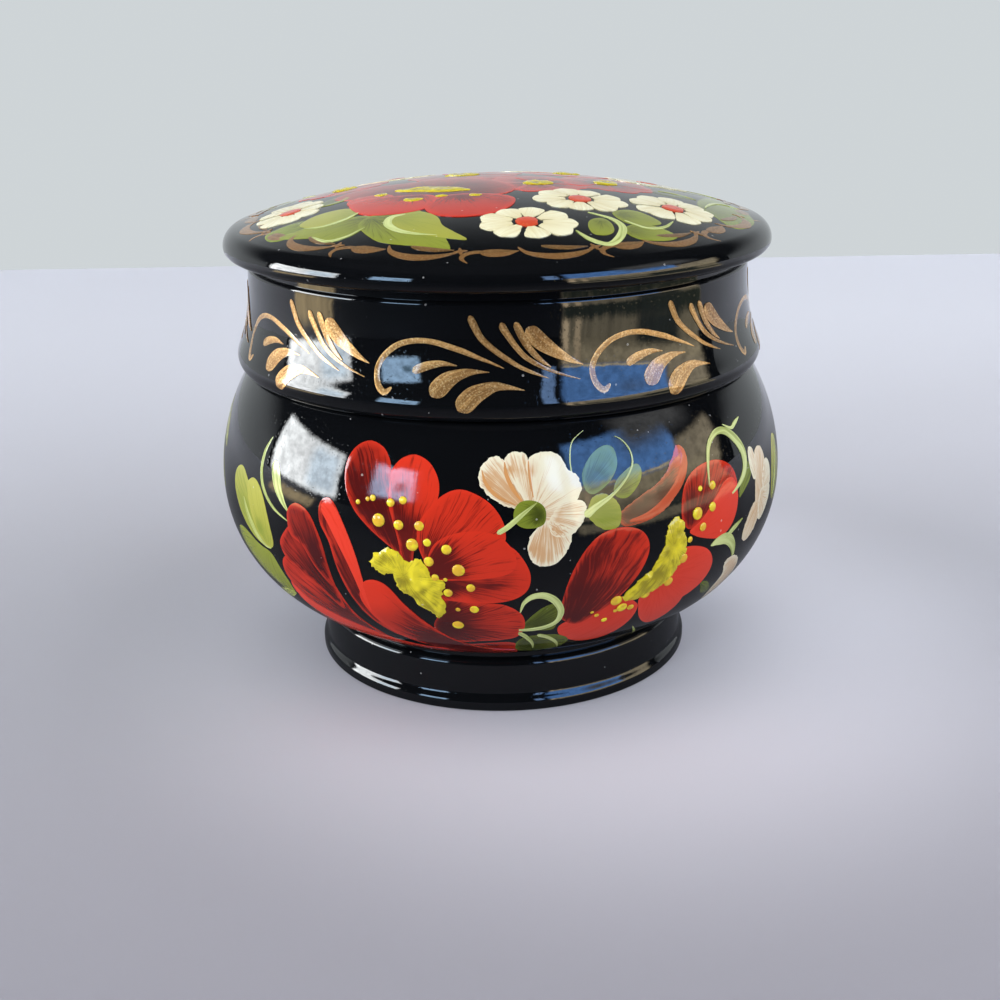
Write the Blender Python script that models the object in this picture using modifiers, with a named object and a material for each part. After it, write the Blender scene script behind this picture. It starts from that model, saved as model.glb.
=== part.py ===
"""A turned trinket box: a pot-bellied bowl on a short foot, and a domed lid that lifts off its collar.

Both pieces are turned on one upright axis. The bowl stands on the origin, +Z is up, and
lengths are in metres. Run it with blender --background --python part.py.
"""

import math

import bpy

MM = 0.001

# Bowl, outside
BELLY_RADIUS = 38.0 * MM
BELLY_HEIGHT = 26.0 * MM
SHOULDER_RISE = 14.9 * MM
SHOULDER_SET_IN = 4.1 * MM
SHOULDER_ROUND = 0.7 * MM

# Foot
FOOT_RADIUS = 25.9 * MM
FOOT_HEIGHT = 6.9 * MM
FOOT_TOP_ROUND = 0.85 * MM
FOOT_WALL_SET_IN = 0.6 * MM
FOOT_BEAD_HEIGHT = 1.0 * MM
FOOT_BEAD_SLOPE = 1.5 * MM
FOOT_EDGE_ROUND = 0.35 * MM
FOOT_RING_WIDTH = 5.4 * MM
RECESS_DEPTH = 1.2 * MM
RECESS_ROUND = 0.6 * MM
WAIST_DEPTH = 1.6 * MM
WAIST_GAP = 1.1 * MM

# Bowl, inside
BELLY_WALL = 6.0 * MM
FLOOR_THICKNESS = 6.3 * MM
FLOOR_RADIUS = 12.0 * MM

# Collar that the lid slips over
SEAT_WIDTH = 4.1 * MM
COLLAR_WALL = 2.4 * MM
COLLAR_RISE = 5.2 * MM
COLLAR_ROUND = 0.6 * MM

# Fit of the lid on the bowl
COLLAR_CLEARANCE = 0.3 * MM
SEAT_CLEARANCE = 0.3 * MM
COLLAR_TOP_CLEARANCE = 0.8 * MM

# Lid, outside, with heights above its lower edge
SKIRT_PROUD = 0.4 * MM
SKIRT_EDGE_ROUND = 0.35 * MM
FLARE_SWELL = 0.55 * MM
FLARE_HEIGHT = 1.7 * MM
BAND_SET_IN = 2.05 * MM
BAND_EDGE_ROUND = 0.45 * MM
GROOVE_WIDTH = 1.25 * MM
GROOVE_DEPTH = 0.55 * MM
RIM_OVERHANG = 2.9 * MM
RIM_HEIGHT = 14.65 * MM
RIM_UNDER_ROUND = 1.15 * MM
RIM_OVER_ROUND = 2.3 * MM
CROWN_RISE = 5.0 * MM

# Lid, inside
BORE_LEAD = 0.5 * MM
BORE_STEP = 1.5 * MM
CROWN_WALL = 5.6 * MM
CEILING_ROUND = 5.0 * MM
CEILING_RISE = 1.6 * MM

# How far an ogee runs on straight before it bends, as a share of its height
BAND_EASE = 0.74
FLARE_EASE = 0.12
BEAD_EASE = 0.4

# The most of a wall's width that the round on its edge may take
MOST_ROUND = 0.9

# Facets
TURN_STEPS = 60
CHORD_ERROR = 0.05 * MM
COARSEST_SHARE = 0.1
CURVE_POINTS = 9
QUARTER_POINTS = 9
MERGE_DISTANCE = 0.00001
SHARP_ANGLE = math.radians(35.0)

# Sizes that follow from the ones above
shoulder_radius = BELLY_RADIUS - SHOULDER_SET_IN
seat_height = BELLY_HEIGHT + SHOULDER_RISE
collar_radius = shoulder_radius - SEAT_WIDTH
mouth_radius = collar_radius - COLLAR_WALL
collar_top = seat_height + COLLAR_RISE
waist_radius = FOOT_RADIUS - WAIST_DEPTH
foot_wall_radius = FOOT_RADIUS - FOOT_WALL_SET_IN
bore_radius = collar_radius + COLLAR_CLEARANCE
bore_depth = COLLAR_RISE - SEAT_CLEARANCE + COLLAR_TOP_CLEARANCE
skirt_radius = shoulder_radius + SKIRT_PROUD
flare_radius = skirt_radius + FLARE_SWELL
band_radius = flare_radius - BAND_SET_IN
rim_radius = band_radius + RIM_OVERHANG
widest_height = RIM_HEIGHT + RIM_UNDER_ROUND
crown_height = widest_height + RIM_OVER_ROUND + CROWN_RISE
lid_rest_height = seat_height + SEAT_CLEARANCE


def arc(centre, radius, start, end):
    """Points round centre from the start angle to the end angle, both in degrees from outward."""
    widest_step = 2 * math.acos(1 - min(CHORD_ERROR / radius, COARSEST_SHARE))
    sweep = math.radians(end - start)
    count = max(2, math.ceil(abs(sweep) / widest_step))
    angles = [math.radians(start) + sweep * i / count for i in range(count + 1)]
    return [(centre[0] + radius * math.cos(a), centre[1] + radius * math.sin(a)) for a in angles]


def fitted_round(size, wall):
    """An edge's round, no larger than its wall has room for."""
    return min(size, MOST_ROUND * wall)


def bezier(start, pull, push, end):
    """Points along a cubic curve, its ends included."""
    points = []
    for i in range(CURVE_POINTS + 1):
        t = i / CURVE_POINTS
        shares = ((1 - t) ** 3, 3 * t * (1 - t) ** 2, 3 * t * t * (1 - t), t**3)
        corners = (start, pull, push, end)
        points.append(tuple(sum(s * c[axis] for s, c in zip(shares, corners)) for axis in (0, 1)))
    return points


def ogee(top, bottom, top_ease, bottom_ease):
    """An S-shaped moulding that runs upright at both ends."""
    height = top[1] - bottom[1]
    pull = (top[0], top[1] - top_ease * height)
    push = (bottom[0], bottom[1] + bottom_ease * height)
    return bezier(top, pull, push, bottom)


def quarter(side, end):
    """A hollow's turn from its upright side to its level floor, as a quarter of an ellipse."""
    across, down = side[0] - end[0], side[1] - end[1]
    turns = [math.pi / 2 * i / QUARTER_POINTS for i in range(QUARTER_POINTS + 1)]
    return [(end[0] + across * math.cos(a), side[1] - down * math.sin(a)) for a in turns]


def swell(widest, corner, corner_round):
    """The arc that is upright at the widest point and runs smoothly into a corner's round.

    Returns the arc's centre, its radius, and the angle at which it meets the round.
    """
    out = widest[0] - corner[0]
    along = corner[1] - widest[1]
    radius = (out**2 + along**2 - corner_round**2) / (2 * (out - corner_round))
    centre = (widest[0] - radius, widest[1])
    return centre, radius, math.degrees(math.atan2(along, corner[0] - centre[0]))


def crown(apex_height, corner, corner_round):
    """The shallow dome that is level on the axis and runs smoothly into a corner's round."""
    drop = apex_height - corner[1]
    radius = (drop**2 + corner[0] ** 2 - corner_round**2) / (2 * (drop - corner_round))
    centre = (0.0, apex_height - radius)
    return centre, radius, math.degrees(math.atan2(corner[1] - centre[1], corner[0]))


def cavity_profile():
    """The bowl's inside, from the middle of its floor up to the mouth."""
    floor_height = RECESS_DEPTH + FLOOR_THICKNESS
    widest = (BELLY_RADIUS - BELLY_WALL, BELLY_HEIGHT)
    lower = quarter(widest, (FLOOR_RADIUS, floor_height))
    centre, radius, angle = swell(widest, (mouth_radius, seat_height), 0.0)
    upper = arc(centre, radius, 0, angle)
    return [(0.0, floor_height)] + lower[::-1] + upper[1:]


def collar_profile():
    """The collar, from the mouth over its top and down to the seat."""
    height = collar_top - COLLAR_ROUND
    inner = arc((mouth_radius + COLLAR_ROUND, height), COLLAR_ROUND, 180, 90)
    outer = arc((collar_radius - COLLAR_ROUND, height), COLLAR_ROUND, 90, 0)
    return inner + outer + [(collar_radius, seat_height)]


def belly_profile():
    """The bowl's outside, from the seat's edge down to the waist over the foot."""
    corner = (shoulder_radius - SHOULDER_ROUND, seat_height - SHOULDER_ROUND)
    widest = (BELLY_RADIUS, BELLY_HEIGHT)
    centre, radius, angle = swell(widest, corner, SHOULDER_ROUND)
    points = arc(corner, SHOULDER_ROUND, 90, angle) + arc(centre, radius, angle, 0)[1:]
    centre, radius, angle = swell(widest, (waist_radius, FOOT_HEIGHT + WAIST_GAP), 0.0)
    return points + arc(centre, radius, 0, angle)[1:]


def foot_profile():
    """The foot, from the waist down its wall and bead and in across the recess below."""
    top_round = fitted_round(FOOT_TOP_ROUND, foot_wall_radius - waist_radius)
    points = [(waist_radius, FOOT_HEIGHT)]
    points += arc((foot_wall_radius - top_round, FOOT_HEIGHT - top_round), top_round, 90, 0)
    bead_top = (foot_wall_radius, FOOT_BEAD_HEIGHT + FOOT_BEAD_SLOPE)
    points += ogee(bead_top, (FOOT_RADIUS, FOOT_BEAD_HEIGHT), BEAD_EASE, BEAD_EASE)
    edge = (FOOT_RADIUS - FOOT_EDGE_ROUND, FOOT_EDGE_ROUND)
    points += arc(edge, FOOT_EDGE_ROUND, 0, -90)
    recess_radius = FOOT_RADIUS - FOOT_RING_WIDTH
    points.append((recess_radius, 0.0))
    recess_round = fitted_round(RECESS_ROUND, RECESS_DEPTH)
    corner = (recess_radius - recess_round, RECESS_DEPTH - recess_round)
    return points + arc(corner, recess_round, 0, 90) + [(0.0, RECESS_DEPTH)]


def rim_profile():
    """The lid's top, from the middle of its crown over the rim to the groove under it."""
    corner = (rim_radius - RIM_OVER_ROUND, widest_height)
    centre, radius, angle = crown(crown_height, corner, RIM_OVER_ROUND)
    points = arc(centre, radius, 90, angle) + arc(corner, RIM_OVER_ROUND, angle, 0)[1:]
    points += arc((rim_radius - RIM_UNDER_ROUND, widest_height), RIM_UNDER_ROUND, 0, -90)[1:]
    return points + [(band_radius - GROOVE_DEPTH, RIM_HEIGHT)]


def band_profile():
    """The lid's waisted band, from the groove under the rim down to the flare."""
    top = RIM_HEIGHT - GROOVE_WIDTH
    edge_round = fitted_round(BAND_EDGE_ROUND, GROOVE_DEPTH)
    corner = (band_radius - edge_round, top - edge_round)
    points = [(band_radius - GROOVE_DEPTH, top)] + arc(corner, edge_round, 90, 0)
    curve = ogee((band_radius, corner[1]), (flare_radius, FLARE_HEIGHT), BAND_EASE, FLARE_EASE)
    return points + curve[1:]


def skirt_profile():
    """The lid's lower edge, from the flare in to the bore."""
    corner = (skirt_radius - SKIRT_EDGE_ROUND, SKIRT_EDGE_ROUND)
    centre, radius, angle = swell((flare_radius, FLARE_HEIGHT), corner, SKIRT_EDGE_ROUND)
    points = arc(centre, radius, 0, angle)[1:] + arc(corner, SKIRT_EDGE_ROUND, angle, -90)[1:]
    return points + [(bore_radius + BORE_LEAD, 0.0), (bore_radius, BORE_LEAD)]


def hollow_profile():
    """The lid's inside, from the bore up to the middle of its ceiling."""
    hollow_radius = bore_radius - BORE_STEP
    ceiling = crown_height - CROWN_WALL
    corner = (hollow_radius - CEILING_ROUND, ceiling - CEILING_RISE - CEILING_ROUND)
    centre, radius, angle = crown(ceiling, corner, CEILING_ROUND)
    points = [(bore_radius, bore_depth), (hollow_radius, bore_depth)]
    return points + arc(corner, CEILING_ROUND, 0, angle) + arc(centre, radius, angle, 90)[1:]


def clear_scene():
    for item in list(bpy.data.objects):
        bpy.data.objects.remove(item)


def lacquer(name, roughness):
    """Black lacquer under a clear gloss coat."""
    material = bpy.data.materials.new(name)
    material.use_nodes = True
    shader = material.node_tree.nodes["Principled BSDF"]
    shader.inputs["Base Color"].default_value = (0.006, 0.006, 0.007, 1.0)
    shader.inputs["Metallic"].default_value = 0.0
    shader.inputs["Roughness"].default_value = roughness
    shader.inputs["Coat Weight"].default_value = 0.5
    material.diffuse_color = (0.02, 0.02, 0.022, 1.0)
    return material


def turn(name, profile, height, material, collection):
    """Turns a profile into one solid, stood on the axis at a height.

    The profile runs from the axis, down the piece's outer side, and back to the axis.
    """
    mesh = bpy.data.meshes.new(name)
    edges = [(i, i + 1) for i in range(len(profile) - 1)]
    mesh.from_pydata([(radius, 0.0, z) for radius, z in profile], edges, [])
    piece = bpy.data.objects.new(name, mesh)
    collection.objects.link(piece)
    screw = piece.modifiers.new("turn", "SCREW")
    screw.axis = "Z"
    screw.angle = 2 * math.pi
    screw.steps = screw.render_steps = TURN_STEPS
    screw.use_merge_vertices = True
    screw.merge_threshold = MERGE_DISTANCE
    bpy.context.view_layer.update()
    solid = bpy.data.meshes.new_from_object(piece.evaluated_get(bpy.context.evaluated_depsgraph_get()))
    piece.modifiers.clear()
    piece.data = solid
    bpy.data.meshes.remove(mesh)
    solid.name = name
    solid.shade_smooth()
    solid.set_sharp_from_angle(angle=SHARP_ANGLE)
    solid.materials.clear()
    solid.materials.append(material)
    piece.location = (0.0, 0.0, height)
    return piece


def main():
    clear_scene()
    box = bpy.data.collections.new("trinket_box")
    bpy.context.scene.collection.children.link(box)
    bowl_outline = cavity_profile() + collar_profile() + belly_profile() + foot_profile()
    lid_outline = rim_profile() + band_profile() + skirt_profile() + hollow_profile()
    turn("bowl", bowl_outline, 0.0, lacquer("bowl_lacquer", 0.12), box)
    turn("lid", lid_outline, lid_rest_height, lacquer("lid_lacquer", 0.1), box)


main()
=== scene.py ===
"""Looks of a turned and lacquered trinket box, painted with poppies, daisies and gold strokes.

The shells are turned from the same outline as the solids. The painting lies on them as thin
raised strokes, so that each petal, leaf and curl is a shape of its own under the gloss coat.
"""

import bisect
import math
import random
import bpy
from bpy.props import FloatProperty, FloatVectorProperty, PointerProperty
from mathutils import Matrix, Vector, noise
from mathutils.geometry import delaunay_2d_cdt
from mathutils.kdtree import KDTree


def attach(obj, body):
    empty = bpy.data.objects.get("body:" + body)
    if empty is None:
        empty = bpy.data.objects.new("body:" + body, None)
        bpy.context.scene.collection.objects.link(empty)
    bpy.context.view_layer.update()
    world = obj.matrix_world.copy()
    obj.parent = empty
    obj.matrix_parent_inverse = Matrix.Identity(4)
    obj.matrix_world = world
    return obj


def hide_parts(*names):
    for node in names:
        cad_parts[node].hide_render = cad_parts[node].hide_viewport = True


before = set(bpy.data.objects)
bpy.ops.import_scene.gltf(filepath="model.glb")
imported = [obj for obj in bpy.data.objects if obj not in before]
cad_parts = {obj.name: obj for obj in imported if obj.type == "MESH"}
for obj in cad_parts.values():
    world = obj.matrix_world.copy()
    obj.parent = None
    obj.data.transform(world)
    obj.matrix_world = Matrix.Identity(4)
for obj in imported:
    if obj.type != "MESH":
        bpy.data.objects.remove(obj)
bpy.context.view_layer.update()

bl_info = {
    "name": "Lacquer Trinket Box",
    "version": (1, 0, 0),
    "blender": (4, 5, 0),
    "location": "3D View > Sidebar > Trinket Box",
    "description": "Turned shells, brushed paint, gloss coat and stage of a lidded trinket box",
    "category": "Object",
}

MM = 0.001

# Fineness of the shells, in the same unit as the sizes
CHORD_ERROR = 0.0025 * MM
COARSEST_SHARE = 0.02
CURVE_POINTS = 36
TURN_SEGMENTS = 288
AXIS_CIRCLE = 1.0 * MM
MERGE_DISTANCE = 0.0005 * MM
SHARP_ANGLE = math.radians(30.0)
MOST_ROUND = 0.9


def length(text, millimetres):
    """A size property, given in millimetres and kept in metres."""
    return FloatProperty(description=text, default=millimetres * MM, min=0.0, subtype="DISTANCE",
                         unit="LENGTH", precision=5)


def share(text, value):
    """A property between 0 and 1."""
    return FloatProperty(description=text, default=value, min=0.0, max=1.0, subtype="FACTOR")


def angle(text, radians):
    """A turn."""
    return FloatProperty(description=text, default=radians, subtype="ANGLE")


def colour(text, value):
    """A colour property in linear light."""
    return FloatVectorProperty(description=text, default=value, size=3, min=0.0, max=1.0, subtype="COLOR")


class BowlSizes(bpy.types.PropertyGroup):
    """Sizes of the bowl, the same as in the solids."""

    belly_radius: length("Half of the bowl's greatest width", 38.0)
    belly_height: length("Height of the widest line", 26.0)
    shoulder_rise: length("From the widest line up to the seat", 14.9)
    shoulder_set_in: length("How far the shoulder stands in from the belly", 4.1)
    shoulder_round: length("Round on the shoulder's edge", 0.7)
    foot_radius: length("Half of the foot's width", 25.9)
    foot_height: length("Height of the foot", 6.9)
    foot_top_round: length("Round on the foot's upper edge", 0.85)
    foot_wall_set_in: length("How far the wall stands in from the bead", 0.6)
    foot_bead_height: length("Height of the bead at the foot's edge", 1.0)
    foot_bead_slope: length("Height of the slope over the bead", 1.5)
    foot_edge_round: length("Round on the foot's lower edge", 0.35)
    foot_ring_width: length("Width of the ring that the box stands on", 5.4)
    recess_depth: length("Depth of the recess under the foot", 1.2)
    recess_round: length("Round in the recess", 0.6)
    waist_depth: length("How far the waist stands in from the foot", 1.6)
    waist_gap: length("Height of the waist over the foot", 1.1)
    belly_wall: length("Wall at the widest line", 6.0)
    floor_thickness: length("Thickness of the bowl's floor", 6.3)
    floor_radius: length("Radius of the flat part of the floor", 12.0)
    seat_width: length("Width of the seat round the collar", 4.1)
    collar_wall: length("Wall of the collar", 2.4)
    collar_rise: length("Height of the collar over the seat", 5.2)
    collar_round: length("Round on the collar's edges", 0.6)
    bead_ease: share("How far the foot's slope runs on straight at its ends", 0.4)


class LidSizes(bpy.types.PropertyGroup):
    """Sizes of the lid, the same as in the solids, with heights over its lower edge."""

    collar_clearance: length("Gap between the bore and the collar", 0.3)
    seat_clearance: length("Gap between the lid's edge and the seat", 0.3)
    collar_top_clearance: length("Room over the collar", 0.8)
    skirt_proud: length("How far the skirt stands out over the shoulder", 0.4)
    skirt_edge_round: length("Round on the skirt's edge", 0.35)
    flare_swell: length("How far the flare swells over the skirt's edge", 0.55)
    flare_height: length("Height of the flare's widest line", 1.7)
    band_set_in: length("How far the band's top stands in from the flare", 2.05)
    band_edge_round: length("Round on the band's upper edge", 0.45)
    groove_width: length("Width of the groove under the rim", 1.25)
    groove_depth: length("Depth of the groove under the rim", 0.55)
    rim_overhang: length("How far the rim stands out over the band", 2.9)
    rim_height: length("Height of the rim's underside", 14.65)
    rim_under_round: length("Round on the rim's lower edge", 1.15)
    rim_over_round: length("Round on the rim's upper edge", 2.3)
    crown_rise: length("Rise of the crown over the rim", 5.0)
    bore_lead: length("Chamfer at the bore's mouth", 0.5)
    bore_step: length("Step over the bore", 1.5)
    crown_wall: length("Thickness of the lid at its middle", 5.6)
    ceiling_round: length("Round in the lid's hollow", 5.0)
    ceiling_rise: length("Rise of the hollow's ceiling", 1.6)
    band_ease: share("How far the band runs on straight at its top", 0.74)
    flare_ease: share("How far the band runs on straight at the flare", 0.12)
    spray_step: angle("Turn between the gold sprays in front", math.radians(42.6))


class PaintColours(bpy.types.PropertyGroup):
    """Colours of the lacquer and of the paints, in linear light."""

    lacquer: colour("Black lacquer outside", (0.0033, 0.0038, 0.0048))
    inside: colour("Black lacquer inside", (0.010, 0.0095, 0.0095))
    worn: colour("Worn turning marks inside", (0.03, 0.026, 0.024))
    lacquer_dust: colour("Dust on the bare lacquer", (0.55, 0.56, 0.58))
    paint_dust: colour("Dust over the paint", (0.75, 0.72, 0.66))
    poppy: colour("Bright poppy red", (0.64, 0.036, 0.016))
    poppy_deep: colour("Dark red of the brushed streaks", (0.055, 0.0065, 0.007))
    poppy_light: colour("Lightest red strokes", (0.72, 0.052, 0.028))
    bud: colour("Orange red of the bud", (0.50, 0.085, 0.035))
    bud_deep: colour("Grey brown inside the bud", (0.10, 0.058, 0.036))
    cream: colour("White petals", (0.80, 0.765, 0.60))
    daisy: colour("White of the daisies", (0.88, 0.87, 0.66))
    daisy_deep: colour("Straw streaks in the daisies", (0.70, 0.62, 0.36))
    daisy_heart: colour("Orange red of the daisies' hearts", (0.60, 0.065, 0.025))
    daisy_heart_light: colour("Light marks in the daisies' hearts", (0.72, 0.26, 0.09))
    cream_tan: colour("Tan streaks in the white petals", (0.56, 0.29, 0.12))
    orange: colour("Orange of the strokes over the white petals", (0.80, 0.34, 0.08))
    leaf: colour("Olive green leaves", (0.20, 0.25, 0.03))
    leaf_deep: colour("Shaded side of the leaves", (0.035, 0.045, 0.008))
    leaf_pale: colour("Pale green curls", (0.62, 0.70, 0.30))
    leaf_blue: colour("Blue green leaves", (0.13, 0.225, 0.10))
    leaf_yellow: colour("Yellow green leaves", (0.42, 0.41, 0.07))
    yellow: colour("Yellow of the stamens", (0.80, 0.68, 0.035))
    # Deeper yellow: the stamens' bristle marks, and painted shade in the hollows between their lumps
    yellow_streaks_and_shade: colour("Shaded yellow of the stamens", (0.28, 0.235, 0.018))
    pollen: colour("Orange of the pollen where it is thin", (0.72, 0.44, 0.04))
    # Painted glints: a light colour put into the brightest flakes of the gold, as highlights
    glint: colour("Glints in the gold", (0.88, 0.66, 0.34))
    gold: colour("Gold strokes on the band", (0.62, 0.35, 0.125))
    gold_deep: colour("Thin places of the gold", (0.24, 0.12, 0.04))
    border: colour("Brown gold scrolls on the lid", (0.36, 0.175, 0.058))


class StageSettings(bpy.types.PropertyGroup):
    """Camera, floor and lamps."""

    camera_distance: length("From the axis to the camera, along the floor", 183.045)
    camera_height: length("Height of the camera over the floor", 85.414)
    camera_lens: FloatProperty(description="Focal length on a 36 mm frame", default=49.52, unit="CAMERA")
    camera_pitch: angle("How far the camera looks down", 0.34506)
    camera_yaw: angle("How far the camera looks to the right", -0.00099)
    camera_roll: angle("How far the camera leans", -0.016669)
    # The floor's darker front: painted shade
    floor_near_painted_shade: colour("Floor in front of the box", (0.188, 0.179, 0.208))
    floor_far: colour("Floor behind the box", (0.56, 0.575, 0.625))
    backdrop: colour("What stands behind the box", (0.62, 0.66, 0.68))


class TrinketBox(bpy.types.PropertyGroup):
    """All the settings of the box."""

    bowl: PointerProperty(type=BowlSizes)
    lid: PointerProperty(type=LidSizes)
    paint: PointerProperty(type=PaintColours)
    stage: PointerProperty(type=StageSettings)


# Outlines of the turned pieces


def arc(centre, radius, start, end):
    """Points round centre from the start angle to the end angle, both in degrees from outward."""
    widest_step = 2 * math.acos(1 - min(CHORD_ERROR / radius, COARSEST_SHARE))
    sweep = math.radians(end - start)
    count = max(2, math.ceil(abs(sweep) / widest_step))
    angles = [math.radians(start) + sweep * i / count for i in range(count + 1)]
    return [(centre[0] + radius * math.cos(a), centre[1] + radius * math.sin(a)) for a in angles]


def ogee(top, bottom, top_ease, bottom_ease):
    """An S-shaped moulding that runs upright at both ends."""
    height = top[1] - bottom[1]
    high, low = top[1] - top_ease * height, bottom[1] + bottom_ease * height
    corners = (top, (top[0], high), (bottom[0], low), bottom)
    points = []
    for i in range(CURVE_POINTS + 1):
        t = i / CURVE_POINTS
        shares = ((1 - t) ** 3, 3 * t * (1 - t) ** 2, 3 * t * t * (1 - t), t**3)
        points.append(tuple(sum(s * c[axis] for s, c in zip(shares, corners)) for axis in (0, 1)))
    return points


def quarter(side, end):
    """A hollow's turn from its upright side to its level floor, as a quarter of an ellipse."""
    across, down = side[0] - end[0], side[1] - end[1]
    turns = [math.pi / 2 * i / CURVE_POINTS for i in range(CURVE_POINTS + 1)]
    return [(end[0] + across * math.cos(a), side[1] - down * math.sin(a)) for a in turns]


def swell(widest, corner, corner_round):
    """The arc that is upright at the widest point and runs smoothly into a corner's round."""
    out = widest[0] - corner[0]
    along = corner[1] - widest[1]
    radius = (out**2 + along**2 - corner_round**2) / (2 * (out - corner_round))
    centre = (widest[0] - radius, widest[1])
    return centre, radius, math.degrees(math.atan2(along, corner[0] - centre[0]))


def crown(apex_height, corner, corner_round):
    """The shallow dome that is level on the axis and runs smoothly into a corner's round."""
    drop = apex_height - corner[1]
    radius = (drop**2 + corner[0] ** 2 - corner_round**2) / (2 * (drop - corner_round))
    centre = (0.0, apex_height - radius)
    return centre, radius, math.degrees(math.atan2(corner[1] - centre[1], corner[0]))


def fitted_round(size, wall):
    """An edge's round, no larger than its wall has room for."""
    return min(size, MOST_ROUND * wall)


class BowlOutline:
    """The bowl's section, in parts that run from the floor over the collar and down to the foot."""

    def __init__(self, sizes):
        s = self.sizes = sizes
        self.shoulder_radius = s.belly_radius - s.shoulder_set_in
        self.seat_height = s.belly_height + s.shoulder_rise
        self.collar_radius = self.shoulder_radius - s.seat_width
        self.mouth_radius = self.collar_radius - s.collar_wall
        self.collar_top = self.seat_height + s.collar_rise
        self.waist_radius = s.foot_radius - s.waist_depth

    def cavity(self):
        s = self.sizes
        floor_height = s.recess_depth + s.floor_thickness
        widest = (s.belly_radius - s.belly_wall, s.belly_height)
        lower = quarter(widest, (s.floor_radius, floor_height))
        centre, radius, angle = swell(widest, (self.mouth_radius, self.seat_height), 0.0)
        return [(0.0, floor_height)] + lower[::-1] + arc(centre, radius, 0, angle)[1:]

    def collar(self):
        s = self.sizes
        height = self.collar_top - s.collar_round
        inner = arc((self.mouth_radius + s.collar_round, height), s.collar_round, 180, 90)
        outer = arc((self.collar_radius - s.collar_round, height), s.collar_round, 90, 0)
        return inner + outer + [(self.collar_radius, self.seat_height)]

    def belly(self):
        s = self.sizes
        corner = (self.shoulder_radius - s.shoulder_round, self.seat_height - s.shoulder_round)
        widest = (s.belly_radius, s.belly_height)
        centre, radius, angle = swell(widest, corner, s.shoulder_round)
        points = arc(corner, s.shoulder_round, 90, angle) + arc(centre, radius, angle, 0)[1:]
        centre, radius, angle = swell(widest, (self.waist_radius, s.foot_height + s.waist_gap), 0.0)
        return points + arc(centre, radius, 0, angle)[1:]

    def foot(self):
        s = self.sizes
        wall_radius = s.foot_radius - s.foot_wall_set_in
        top_round = fitted_round(s.foot_top_round, wall_radius - self.waist_radius)
        points = [(self.waist_radius, s.foot_height)]
        points += arc((wall_radius - top_round, s.foot_height - top_round), top_round, 90, 0)
        bead_top = (wall_radius, s.foot_bead_height + s.foot_bead_slope)
        points += ogee(bead_top, (s.foot_radius, s.foot_bead_height), s.bead_ease, s.bead_ease)
        points += arc((s.foot_radius - s.foot_edge_round, s.foot_edge_round), s.foot_edge_round, 0, -90)
        recess_radius = s.foot_radius - s.foot_ring_width
        points.append((recess_radius, 0.0))
        recess_round = fitted_round(s.recess_round, s.recess_depth)
        corner = (recess_radius - recess_round, s.recess_depth - recess_round)
        return points + arc(corner, recess_round, 0, 90) + [(0.0, s.recess_depth)]


class LidOutline:
    """The lid's section at rest on the bowl, from its crown down the band and up the hollow."""

    def __init__(self, sizes, bowl):
        s = self.sizes = sizes
        self.bore_radius = bowl.collar_radius + s.collar_clearance
        self.bore_depth = bowl.sizes.collar_rise - s.seat_clearance + s.collar_top_clearance
        self.skirt_radius = bowl.shoulder_radius + s.skirt_proud
        self.flare_radius = self.skirt_radius + s.flare_swell
        self.band_radius = self.flare_radius - s.band_set_in
        self.rim_radius = self.band_radius + s.rim_overhang
        self.widest_height = s.rim_height + s.rim_under_round
        self.crown_height = self.widest_height + s.rim_over_round + s.crown_rise
        self.rest_height = bowl.seat_height + s.seat_clearance

    def raised(self, points):
        """Heights over the lid's lower edge as heights over the floor."""
        return [(radius, height + self.rest_height) for radius, height in points]

    def rim(self):
        s = self.sizes
        corner = (self.rim_radius - s.rim_over_round, self.widest_height)
        centre, radius, angle = crown(self.crown_height, corner, s.rim_over_round)
        points = arc(centre, radius, 90, angle) + arc(corner, s.rim_over_round, angle, 0)[1:]
        under = (self.rim_radius - s.rim_under_round, self.widest_height)
        points += arc(under, s.rim_under_round, 0, -90)[1:]
        return self.raised(points + [(self.band_radius - s.groove_depth, s.rim_height)])

    def band(self):
        s = self.sizes
        top = s.rim_height - s.groove_width
        edge_round = fitted_round(s.band_edge_round, s.groove_depth)
        corner = (self.band_radius - edge_round, top - edge_round)
        points = [(self.band_radius - s.groove_depth, top)] + arc(corner, edge_round, 90, 0)
        foot = (self.flare_radius, s.flare_height)
        return self.raised(points + ogee((self.band_radius, corner[1]), foot, s.band_ease, s.flare_ease)[1:])

    def skirt(self):
        s = self.sizes
        corner = (self.skirt_radius - s.skirt_edge_round, s.skirt_edge_round)
        centre, radius, angle = swell((self.flare_radius, s.flare_height), corner, s.skirt_edge_round)
        points = arc(centre, radius, 0, angle)[1:] + arc(corner, s.skirt_edge_round, angle, -90)[1:]
        return self.raised(points + [(self.bore_radius + s.bore_lead, 0.0)])

    def hollow(self):
        s = self.sizes
        hollow_radius = self.bore_radius - s.bore_step
        ceiling = self.crown_height - s.crown_wall
        corner = (hollow_radius - s.ceiling_round, ceiling - s.ceiling_rise - s.ceiling_round)
        centre, radius, angle = crown(ceiling, corner, s.ceiling_round)
        points = [(self.bore_radius, s.bore_lead), (self.bore_radius, self.bore_depth)]
        points += [(hollow_radius, self.bore_depth)] + arc(corner, s.ceiling_round, 0, angle)
        return self.raised(points + arc(centre, radius, angle, 90)[1:])


def outlines(settings):
    """The bowl's and the lid's sections."""
    bowl = BowlOutline(settings.bowl)
    return bowl, LidOutline(settings.lid, bowl)


# Node trees

FLOAT, VECTOR, COLOUR = "NodeSocketFloat", "NodeSocketVector", "NodeSocketColor"
GEOMETRY, MATERIAL = "NodeSocketGeometry", "NodeSocketMaterial"


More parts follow.
